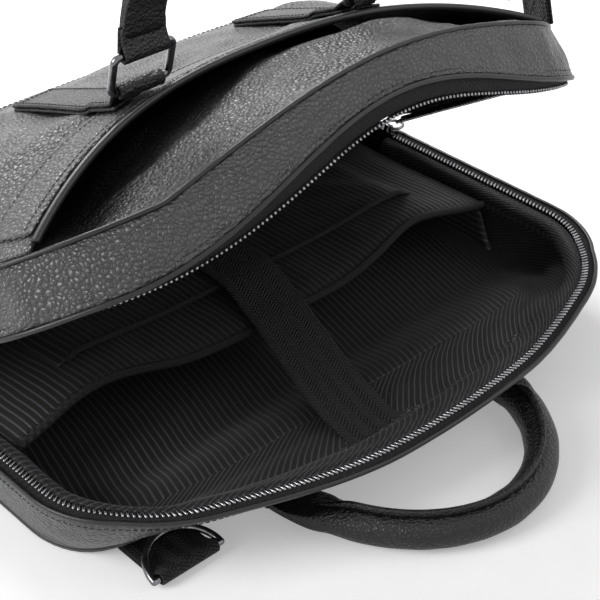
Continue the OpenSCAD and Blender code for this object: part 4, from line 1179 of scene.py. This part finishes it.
# %% [markdown]
# ### Main panel and pocket
# Under the pocket lies the main leather panel. It shows in front of the pocket mouth as a
# smooth slope with a few soft creases that run from the corners to the middle. The pocket is
# one big leather panel that domes up from the side seams to the bottom end. Its mouth is
# stiffened by a stitched band, and slack makes broad folds behind it.

# %% Main panel
def seam_edge(x, i=0.0):
    hw, r = HALF - 3 - i, CORNER - i
    e = np.clip(np.abs(x) - (hw - r), 0, r)
    return -SEAM_Y + i + r - np.sqrt(r * r - e * e) - bowed(x, BOW)

def seam_half(y):
    "half the width of the seam at a distance y from the fold"
    e = np.clip(-SEAM_Y + CORNER - y, 0, CORNER)
    return HALF - 3 - (CORNER - np.sqrt(CORNER ** 2 - e ** 2))

def main_panel(rows=44, cols=85):
    u = columns(cols)
    x = np.broadcast_to((HALF - 6.2) * u, (rows, cols))
    v = np.linspace(0, 1, rows)[:, None]
    y = mix(seam_edge(x, 3.2), -60, v)
    hill = 42.5 * np.cos(np.radians(90 * clamp01(np.abs(x - 22) / 168))) ** 1.1
    z = BAND + 1.7 + mix(seam_up(x, np.full_like(x, -235.0)), hill, ease(v / 0.42))
    return np.stack([drawn(x, y), y, z], -1), v

g, v = main_panel()
creases = [(-176, -190, -70, -212, -3.0, 6), (-160, -170, -40, -196, 3.2, 8), (60, -218, 160, -182, -2.6, 7),
           (40, -190, 150, -156, 3.4, 9), (-70, -226, 10, -190, 2.4, 8), (-20, -214, 80, -226, -2.0, 6),
           (-182, -168, -120, -150, -2.6, 6), (100, -232, 176, -196, 2.4, 7)]
fade = ease(v / 0.07) * ease((1 - v) / 0.1)
g[..., 2] += fade * (ripple(g, 3.8, 60, 43, 3, (1, 1.6, 1)) + 1.3 * sprinkle(g, creases, 5))
panel = skin("front_main_panel", opened(g), 1.9, lid_up)
dress(panel, shell_leather, FRONT)
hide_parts("front_panel")
print("main panel:", len(panel.data.polygons), "faces")

# %% [markdown]
# ### Pocket
# The pocket is one panel of leather, sewn at its sides and at the bottom end. Cloth simulation
# could slump it, but its folds would change with every setting. Here they are drawn: a few long
# ones where the leather pulls from its corners, over a soft noise.


# %% Pocket panel
MOUTH_END = MOUTH_Y + 26

def pocket_hw(t):
    return mix(seam_half(-MOUTH_END) - 1, HALF - 0.6, np.asarray(t, float) ** 0.45)

def pocket_y(u, t):
    return mix(-MOUTH_Y - (MOUTH_END - MOUTH_Y) * u * u, 0, t)

def pocket_z(u, t):
    e = ease(t)
    shape = np.maximum(0, 1 - np.abs(u) ** mix(2.5, 5, e)) ** mix(1, 0.4, e)
    return BAND + 3.6 + mix(MOUTH_H - 3, ROUND - BAND - 3.6, e) * shape

def pocket_point(u, t):
    return np.stack([u * pocket_hw(t), pocket_y(u, t) + 0 * u, pocket_z(u, t)], -1)

def pocket_wave(x, y):
    """the slack folds of the pocket panel"""
    g = np.stack([x, y, 0 * x], -1)
    folds = [(-160, -116, -60, -134, 3.8, 10), (-120, -84, 10, -104, -2.8, 13),
             (30, -132, 140, -110, 3.4, 11), (70, -86, 170, -70, -2.6, 13),
             (-30, -128, 50, -92, 2.2, 14), (-174, -72, -80, -46, 3.2, 13),
             (-176, -30, -110, -62, -2.4, 10), (100, -40, 176, -28, 2.2, 11)]
    quiet = 1 - 0.85 * (bump_at(np.abs(x), 80, 20) * clamp01((-y - 40) / 10))
    return quiet * (1.35 * sprinkle(g, folds, 7) + ripple(g, 4.4, 78, 47, 3))

rows, cols = 62, 91
u = np.broadcast_to(columns(cols), (rows, cols))
t = np.broadcast_to(np.linspace(0, 1, rows)[:, None], (rows, cols))
g = pocket_point(u, t)
quiet_edge = ease(t / 0.2) * ease((1 - t) / 0.07) * ease((1 - np.abs(u)) / 0.05)
g[..., 2] += quiet_edge * pocket_wave(g[..., 0], g[..., 1])
pocket = skin("front_pocket_panel", opened(g), 2.1, lid_up)
dress(pocket, shell_leather, FRONT)
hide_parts("pocket_panel")
print("pocket mouth", round(2 * float(pocket_hw(0))), "mm wide")

# %% [markdown]
# ### Stitched band at the pocket mouth
# A strip of leather 30 mm wide stiffens the mouth. Its front edge is bound, its back edge is
# turned and creased, and two rows of thread hold it. Creases are pressed into the mesh, because
# they catch the light as thin double lines.

# %% Band, binding and threads
rows, cols = 17, 97
s = np.linspace(0, 1, rows)[:, None]
u = np.broadcast_to(0.955 * np.linspace(-1, 1, cols), (rows, cols))
t = np.broadcast_to((1 + 29 * s) / MOUTH_Y, (rows, cols))
g = pocket_point(u, t)
ROW_AT = (4.0, 26.2)    # the two rows of thread, measured back from the mouth
press = 0.45 * bump_at(s * 30, ROW_AT[0], 0.9) + 0.45 * bump_at(s * 30, ROW_AT[1], 0.9)
g[..., 2] += 2.0 - press + 0.35 * ripple(g, 1.0, 30, 53, 2) * np.sin(np.pi * s)
band_piece = skin("pocket_mouth_band", opened(g), 1.9, lid_up)
dress(band_piece, shell_leather, FRONT)
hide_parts("pocket_band")

print("mouth band:", len(band_piece.data.polygons), "faces")

# %% Mouth binding and threads
u = 0.975 * columns(96)
line = pocket_point(u, 0 * u) + [0, -1.9, -0.5]
mouth = tube("pocket_mouth_binding", opened(line), 2.2, 14, lid_up, squash=0.95)
dress(mouth, edge_leather, FRONT)
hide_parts("pocket_binding")
for k, at in enumerate(ROW_AT):
    u = 0.945 * np.linspace(-1, 1, 120)
    row = opened(pocket_point(u, np.full_like(u, (1 + at) / MOUTH_Y)) + [0, 0, 1.75])
    rows_of_thread = stitches("pocket_band_stitches_" + "ab"[k], row, lid_up, 3.6, 2.7, 0.3)
    dress(rows_of_thread, thread, FRONT)
u = np.linspace(-0.985, 0.985, 200)
row = pocket_point(u, np.full_like(u, 0.986)) + [0, 0, 0.15]
dress(stitches("pocket_end_stitches", opened(row), lid_up, 3.8, 2.8, 0.3), thread, FRONT)
print("band stitched at", ROW_AT, "mm from the mouth")

# %% [markdown]
# ## Handles
# Each handle hangs on two rectangular rings. A strap of two leathers is folded round each ring
# bar, and the two straps run into a padded roll. The roll's leather is closed by a stitched
# seam that stands up along one face. Everything is swept along one centre line, whose section
# changes from a flat strap to a round roll.

# %% Sweeping a changing section
def sweep(name, pts, side, up, sections):
    "sections is (n, m, 2): each point's place along side and up"
    pts, side, up = (np.asarray(a, float) for a in (pts, side, up))
    side, up = np.broadcast_to(side, pts.shape), np.broadcast_to(up, pts.shape)
    n, m = sections.shape[:2]
    across, over = sections[..., :1] * side[:, None], sections[..., 1:] * up[:, None]
    verts = (pts[:, None] + across + over).reshape(-1, 3)
    faces = []
    for i in range(n - 1):
        for k in range(m):
            k2 = (k + 1) % m
            faces.append([i * m + k, i * m + k2, (i + 1) * m + k2, (i + 1) * m + k])
    faces += [list(range(m))[::-1], [(n - 1) * m + k for k in range(m)]]
    length = np.linalg.norm(np.diff(pts, axis=0, prepend=pts[:1]), axis=1).cumsum()
    middle = sections[n // 2]
    around = np.linalg.norm(np.diff(middle, axis=0, prepend=middle[:1]), axis=1).cumsum()
    uv = np.stack([np.tile(around, n), np.repeat(length, m)], 1)
    return add_object(name, verts, faces, uv)

def rounded(w, h, power, m=28):
    "superellipse: power 2 is an ellipse, 8 is almost a rectangle"
    a = 2 * math.pi * np.arange(m) / m
    c, s = np.cos(a), np.sin(a)
    return np.stack([w * np.sign(c) * np.abs(c) ** (2 / power),
                     h * np.sign(s) * np.abs(s) ** (2 / power)], 1)

print("a round section has", len(rounded(1, 1, 2)), "points")

# %% Centre line of a handle
def grip_line(t, rise):
    "from one foot to the other, t from 0 to 1; the roll rises over its feet by rise"
    t = np.asarray(t, float)
    sn = np.sin(np.pi * t)
    return np.stack([LEG * np.cos(np.pi * t), -9.6 - (REACH - 9.6) * sn, rise * ease(sn / 0.45)], -1)

def grip_side(t):
    v = grip_line(t + 0.01, 0) - grip_line(t - 0.01, 0)
    s = np.stack([v[..., 1], -v[..., 0], 0 * v[..., 0]], -1)
    return s / np.linalg.norm(s, axis=-1, keepdims=True)

def grip_fill(t):
    "nought where the handle is a flat strap, one where it is a full roll"
    return ease((np.sin(np.pi * clamp01(t)) - 0.12) / 0.4)

LOOP_R = 4.28           # outside radius of leather folded round a ring's bar

def loop_grid(width, tail, m=9):
    "leather folded round a bar on the X axis, tail toward -Y at the top face"
    path = [(-tail, LOOP_R), (-tail * 0.5, LOOP_R), (-1.5, LOOP_R)]
    path += [(LOOP_R * math.sin(a), LOOP_R * math.cos(a)) for a in np.radians(np.arange(0, 196, 13))]
    path += [(-3.4, -2.9), (-5.6, -1.4), (-8.0, -0.35), (-tail, -0.05)]
    x = np.linspace(-1, 1, m) * width / 2
    return np.array([[[xx, y, z] for xx in x] for y, z in path])

def placed(p, origin, tilt):
    a = math.radians(tilt)
    p = np.asarray(p, float)
    y = p[..., 1] * math.cos(a) - p[..., 2] * math.sin(a)
    z = p[..., 1] * math.sin(a) + p[..., 2] * math.cos(a)
    return np.stack([p[..., 0], y, z], -1) + np.asarray(origin, float)

print("a handle's line is", round(float(np.ptp(grip_line(np.linspace(0, 1, 9), 0)[:, 0]))), "mm wide")

# %% One handle
def build_handle(kind, origin, tilt, rise, face, body, nodes):
    def put(p):
        return placed(p, origin, tilt)
    up = put(UP) - put(0 * UP)
    t = np.linspace(-0.012, 1.012, 110)
    fill = grip_fill(t)
    centre = grip_line(clamp01(t), rise) + [0, 0, 2.0]
    centre[:, 1] += np.where((t < 0) | (t > 1), 2.2, 0)
    wob = np.array([noise.noise(Vector((k * 0.19, 3.0, face))) for k in range(len(t))])
    sections = []
    for k, f in enumerate(fill):
        w = mix(12.7, ROLL - 0.25 + 0.35 * wob[k], f)
        h = mix(2.35, ROLL - 0.25 + 0.35 * wob[k], f)
        sec = rounded(w, h, mix(9, 2.15, ease(f * 1.3)))
        groove = (1 - f) * 0.5 * bump_at(sec[:, 1], 0, 0.35)
        sec[:, 0] -= np.sign(sec[:, 0]) * groove
        sections.append(sec)
    side = grip_side(np.clip(t, 0.004, 0.996))
    roll = sweep(kind + "_handle_roll", put(centre), put(side) - put(np.zeros(3)), up, np.array(sections))
    dress(roll, handle_leather, body)
    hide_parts(nodes[1])
    # raised seam: two leather edges side by side
    s = np.linspace(0.085, 0.915, 100)
    h = mix(2.35, ROLL - 0.4, grip_fill(s))
    height = mix(0.5, 4.2, ease((0.415 - np.abs(s - 0.5)) / 0.08))
    base = grip_line(s, rise) + [0, 0, 2.0]
    ply = []
    for hh, lift in zip(h, height):
        z0, z1 = face * (hh - 0.6), face * (hh + 0.35 + lift)
        zs = mix(z0, z1, np.array([0, 0.75, 0.93, 1.0, 0.9, 1.0, 0.93, 0.75, 0]))
        ply.append(np.stack([np.array([-1.45, -1.4, -1.15, -0.65, 0, 0.65, 1.15, 1.4, 1.45]), zs], 1))
    side_s = grip_side(s)
    welt = sweep(kind + "_handle_welt", put(base), put(side_s) - put(np.zeros(3)), up, np.array(ply))
    dress(welt, handle_leather, body)
    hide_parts(nodes[2])
    inner = slice(6, 94)
    for sgn in (-1, 1):
        row = base[inner] + sgn * 1.5 * side_s[inner]
        row[:, 2] += face * (h[inner] + 0.35 + 0.5 * height[inner])
        k = kind + "_handle_welt_thread_" + ("a" if sgn < 0 else "b")
        dress(stitches(k, put(row), up, 3.4, 2.5, 0.3), thread, body)
    for sx in (-1, 1):
        g = loop_grid(26, 13.5)
        g[..., 0] += sx * LEG
        loop = skin(kind + "_handle_loop_" + ("left" if sx < 0 else "right"), put(g), 2.1, "out")
        dress(loop, handle_leather, body)
        if sx < 0:
            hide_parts(nodes[0])
        for sgn in (-1, 1):
            row = [[sx * LEG + sgn * 10.6, y, 4.45] for y in np.linspace(-12.5, -1, 8)]
            k = kind + "_handle_loop_thread_" + ("l" if sx < 0 else "r") + ("a" if sgn < 0 else "b")
            dress(stitches(k, put(np.array(row)), up, 3.2, 2.4, 0.28), thread, body)
        bar = [[sx * LEG + x, -8.6, 4.45] for x in np.linspace(-10, 10, 12)]
        k = kind + "_handle_box_thread_" + ("l" if sx < 0 else "r")
        dress(stitches(k, put(np.array(bar)), up, 3.0, 2.2, 0.28), thread, body)
    print(kind, "handle:", len(roll.data.polygons), "faces in its roll")

# %% Both handles in place
WIRE, RING_L = 2.0, 22.0
REAR_BAR = np.array([0, -103.0, LOOP_R + 1.9])
REAR_B = REAR_BAR - [0, RING_L, 0]
rear_rise = ROLL + 0.4 - REAR_BAR[2]
build_handle("rear", REAR_B, 0, rear_rise - 2, 1, "rear_handle",
             ("rear_handle_ends", "rear_handle_grip", "rear_handle_welt"))

def on_pocket(x, t):
    u = x / pocket_hw(t)
    return np.stack([x + 0 * u, pocket_y(u, t), pocket_z(u, t)], -1)

front_bar = on_pocket(np.array(LEG), np.array(0.03)) + [0, -3.5, LOOP_R + 2.2 + 2.4]
bar_world = opened(front_bar) * [0, 1, 1]
lean = math.radians(-90 + 16)
FRONT_B = bar_world + [0, -RING_L * math.cos(lean), -RING_L * math.sin(lean)]
build_handle("front", FRONT_B, -90 + 8, -2, -1, "front_handle",
             ("front_handle_ends", "front_handle_grip", "front_handle_welt"))
print("front bar at", bar_world.round(2), " second bar at", FRONT_B.round(2))

# %% [markdown]
# ### Handle tabs
# On the pocket, each ring is held by a leather strip folded round its bar and laid flat, two
# thicknesses deep. It is sewn down near its edges, and its free end is cut square. On the back
# panel a shorter tab is folded round its ring's bar in the same way. A pressed line runs just
# inside the edges of the front tabs.

# %% Front tabs
def strip(name, path_at, width, thick, face, material, body, nodes=(), m=15, crease=True):
    s = np.linspace(-1, 1, m)
    g = np.stack([path_at(x * width / 2) for x in s], 1)
    if crease:
        dent = 0.4 * bump_at(np.abs(s) * width / 2, width / 2 - 2.6, 0.8)
        g = pushed(g, np.broadcast_to(-dent, g.shape[:2]), face)
    ob = skin(name, g, thick, face)
    dress(ob, material, body)
    if nodes:
        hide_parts(*nodes)
    return g

for sx in (-1, 1):
    tag = "left" if sx < 0 else "right"
    ts = np.linspace(0.66, 0.075, 34)

    def lift_at(t):
        return 2.6 - 2.1 * ease((t - 0.2) / 0.05)

    def lower(dx):
        run = on_pocket(np.full(len(ts), sx * LEG + dx), ts)
        return opened(run + np.stack([0 * ts, 0 * ts, lift_at(ts) + 0.1], 1))

    def upper(dx):
        run = on_pocket(np.full(len(ts), sx * LEG + dx), ts[::-1])
        run = run + np.stack([0 * ts, 0 * ts, lift_at(ts[::-1]) + 4.4], 1)
        a = np.radians(np.arange(186, -1, -14.3))
        turn = np.stack([np.full(len(a), sx * LEG + dx), front_bar[1] - LOOP_R * np.sin(a),
                         front_bar[2] + LOOP_R * np.cos(a)], 1)
        drop = [[sx * LEG + dx, front_bar[1] + 3.2, front_bar[2] + 3.3]]
        return opened(np.concatenate([turn, drop, run[1:]]))

    strip("front_tab_lower_" + tag, lower, 26, 2.0, -lid_up, handle_leather, FRONT,
          ("front_tabs",) if sx < 0 else (), crease=False)
    g = strip("front_tab_" + tag, upper, 26, 2.1, lid_up, handle_leather, FRONT,
              ("front_tab_loops",) if sx < 0 else ())
    for k, col in (("a", 1.35), ("b", 12.65)):
        c = int(round(col))
        row = g[16:, c] + lid_up * 0.25
        edge_thread = stitches("front_tab_thread_" + tag[0] + k, row, lid_up, 3.4, 2.6, 0.3)
        dress(edge_thread, thread, FRONT)
    row = g[-3] + lid_up * 0.2
    end_thread = stitches("front_tab_end_thread_" + tag[0], row[1:-1], lid_up, 3.2, 2.4, 0.3)
    dress(end_thread, thread, FRONT)
print("front tabs:", len(ts), "rows of points on the pocket")

# %% Rear tabs
for sx in (-1, 1):
    tag = "left" if sx < 0 else "right"
    y = np.linspace(-82, -99, 12)
    path = [[yy, float(back_lift(LEG, yy)) - 2.6] for yy in y]
    path += [[REAR_BAR[1] - LOOP_R * math.sin(b), REAR_BAR[2] - LOOP_R * math.cos(b)]
             for b in np.radians(np.arange(0, 185, 14))]
    path += [[REAR_BAR[1] + 4.2, REAR_BAR[2] + 3.2], [REAR_BAR[1] + 7.5, REAR_BAR[2] + 3.2]]
    s = np.linspace(-1, 1, 13)
    g = np.array([[[sx * LEG + 13 * q, yy, zz] for q in s] for yy, zz in path])
    loop = skin("rear_tab_" + tag, g, 2.1, (0, 0, -1))
    dress(loop, handle_leather, REAR)
    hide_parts(*(("rear_tabs", "rear_tab_loops") if sx < 0 else ()))
print("rear tabs:", len(path), "rows of points")

# %% [markdown]
# ## Strap anchors
# Two D-rings for a shoulder strap hang from folded webbing, one at the left end of the tray and
# one on the right top corner of the cover. The webbing is doubled round the ring's bar.

# %% Anchors of webbing
WEB_T = 1.8             # webbing thickness in the solid model
WEB_THIN, WEB_NARROW = 0.35, 0.8  # the cloth is a little less, so that the ring turns free
WEB_LOOP = WIRE + 0.08 + WEB_T

def web_profile(tail):
    "outer line of webbing round a bar on the X axis, tail toward +Y at the low face"
    path = [(tail, -WEB_LOOP), (tail * 0.66, -WEB_LOOP), (tail * 0.33, -WEB_LOOP), (1.0, -WEB_LOOP)]
    path += [(-WEB_LOOP * math.sin(a), -WEB_LOOP * math.cos(a)) for a in np.radians(np.arange(0, 190, 12.5))]
    path += [(3.0, 2.5), (5.4, 1.0), (8.5, -0.1)]
    path += [(q, -WEB_LOOP + 2 * WEB_T) for q in np.linspace(11, tail, 8)]
    return path

def web_loop(name, put, tail, body, node):
    s = np.linspace(-1, 1, 11) * (WEB_W / 2 - WEB_NARROW)
    g = put(np.array([[[x, y, z] for x in s] for y, z in web_profile(tail)]))
    ob = skin(name, g, WEB_T - WEB_THIN, "out")
    dress(ob, webbing, body)
    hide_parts(node)
    up = put(UP) - put(0 * UP)
    end = min(tail - 4, 34)
    box = [(-14, 12), (14, 12), (14, end), (-14, end), (-14, 12), (14, end)]
    row = np.concatenate([np.linspace(a, b, 12, endpoint=False) for a, b in zip(box, box[1:])])
    row = np.column_stack([row, np.full(len(row), -WEB_LOOP + 2 * WEB_T + 0.15)])
    dress(stitches(name + "_thread", put(row), up, 2.8, 2.1, 0.27), thread, body)

LEFT_ANCHOR = np.array([-148, -139, WEB_LOOP + 0.5])
web_loop("left_anchor_webbing", lambda p: np.asarray(p, float) + LEFT_ANCHOR, 46, REAR, "strap_loop_left")

def turn_about(axis, angle):
    return np.array(Matrix.Rotation(math.radians(angle), 3, axis))

RIGHT_ANCHOR = np.array([HALF - 3 - CORNER + (CORNER - 2.6) * math.cos(math.radians(25)),
                         -SEAM_Y + CORNER - (CORNER - 2.6) * math.sin(math.radians(25)), BAND + 2.3])

def at_right(p):
    p = np.asarray(p, float) @ turn_about("X", -90).T
    p = p + [0, 0, 36]
    p = p @ turn_about("X", 12).T @ turn_about("Z", 65).T + RIGHT_ANCHOR
    return opened(p)

web_loop("right_anchor_webbing", at_right, 36, FRONT, "strap_loop_right")
print("anchors at", LEFT_ANCHOR, RIGHT_ANCHOR.round(1))

# %% [markdown]
# ## Metal parts
# The rings, sliders, pulls and stops keep their exact solids, because their shape is already
# right. They get smooth shading and the black nickel plate. Sliders and stops have crisp
# edges, which get a small bevel to catch the light. The rings and pulls are welded into one
# skin instead, so that the shading runs on over their round wires.

# %% Metal parts from the frame
METAL = [kind + side for kind in ("slider", "pull", "front_ring", "rear_ring", "d_ring")
         for side in ("_left", "_right")] + ["zip_stops"]
for name in METAL:
    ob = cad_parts[name]
    ob.data.materials.clear()
    ob.data.materials.append(hardware)
    ob.data.polygons.foreach_set("use_smooth", [True] * len(ob.data.polygons))
    if name.startswith("slider") or name == "zip_stops":
        bevel = ob.modifiers.new("edge", "BEVEL")
        bevel.width = 0.00035
        bevel.segments = 3
        bevel.limit_method = "ANGLE"
        bevel.angle_limit = math.radians(40)
    else:
        weld = ob.modifiers.new("weld", "WELD")
        weld.merge_threshold = 0.00001
print("metal parts:", len(METAL))

# %% [markdown]
# ## Studio
# A pale floor, one large soft light above and behind, a smaller one on the left, a weak fill
# from the front right and an even world. The floor shows white and still takes a soft shadow.

# %% Floor
FLOOR_GLOW = 0.31       # the floor's own white, seen by the camera only
ROOM_LIGHT = 0.38       # how much the white room lights the case

def seen_not_lit(tree):
    "one for the camera, mirrors and glass, nought where a surface gathers its light"
    path = add(tree, "LightPath")
    mirrored = add(tree, "Math MAXIMUM", path.outputs["Is Glossy Ray"], path.outputs["Is Transmission Ray"])
    return add(tree, "Math MAXIMUM", path.outputs["Is Camera Ray"], mirrored)

def pale_floor():
    # matt coated paper: almost no gloss, and a faint cloud in its white
    mat, tree, bsdf = finish_named("matt white paper floor", Roughness=0.9, IOR=1.45,
                                   Specular_IOR_Level=0.1)
    where = add(tree, "TexCoord").outputs["Object"]
    fibre = add(tree, "TexNoise", {"Scale": 60.0, "Detail": 4.0}, Vector=where).outputs["Fac"]
    tone = add(tree, "ValToRGB", {"stops": [(0.2, "#ececec"), (0.8, "#f1f1f1")]}, fibre)
    feed(bsdf.inputs["Base Color"], tone)
    # a little of its own white, for the camera and for mirrors only, so that it lights nothing
    feed(bsdf.inputs["Emission Color"], hexa("#ffffff"))
    feed(bsdf.inputs["Emission Strength"], add(tree, "Math MULTIPLY", seen_not_lit(tree), FLOOR_GLOW))
    return mat

me = bpy.data.meshes.new("floor")
me.from_pydata([(-6, -6, -0.0008), (6, -6, -0.0008), (6, 6, -0.0008), (-6, 6, -0.0008)], [], [[0, 1, 2, 3]])
floor = bpy.data.objects.new("floor", me)
scene.collection.objects.link(floor)
me.materials.append(pale_floor())
floor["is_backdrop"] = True

print("floor glow", FLOOR_GLOW)

# %% Lamps and world
def soft_box(name, location, target, size, power):
    lamp = bpy.data.lights.new(name, "AREA")
    lamp.shape = "RECTANGLE"
    lamp.size, lamp.size_y = size
    lamp.energy = power
    ob = bpy.data.objects.new(name, lamp)
    ob.location = location
    ob.rotation_euler = (Vector(location) - Vector(target)).to_track_quat("Z", "Y").to_euler()
    scene.collection.objects.link(ob)
    print(name, power, "W")

soft_box("window_light", (0.35, 1.15, 1.2), (0, 0, 0.05), (1.0, 0.6), 24)
soft_box("side_light", (-1.25, 0.25, 0.85), (0, 0, 0.05), (0.7, 0.6), 13)
soft_box("fill_light", (1.0, -0.9, 1.1), (0, 0, 0.05), (1.2, 1.0), 3)
world = bpy.data.worlds.new("studio")
scene.world = world
world.use_nodes = True
air = world.node_tree
sky = air.nodes["Background"]
feed(sky.inputs["Color"], hexa("#ffffff"))
# the room is white to the eye and in every reflection, but lights the case only softly
feed(sky.inputs["Strength"], add(air, "MapRange", seen_not_lit(air), 0.0, 1.0, ROOM_LIGHT, 1.0))
scene.view_settings.view_transform = "Standard"

# %% Measure and finish
boxes = {"cad": [list(map(float, c)) for c in cad_box],
         "visual": [list(map(float, c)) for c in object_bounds()]}
for name, (low, high) in boxes.items():
    print(name, "box from", [round(v * 1000) for v in low], "to", [round(v * 1000) for v in high])
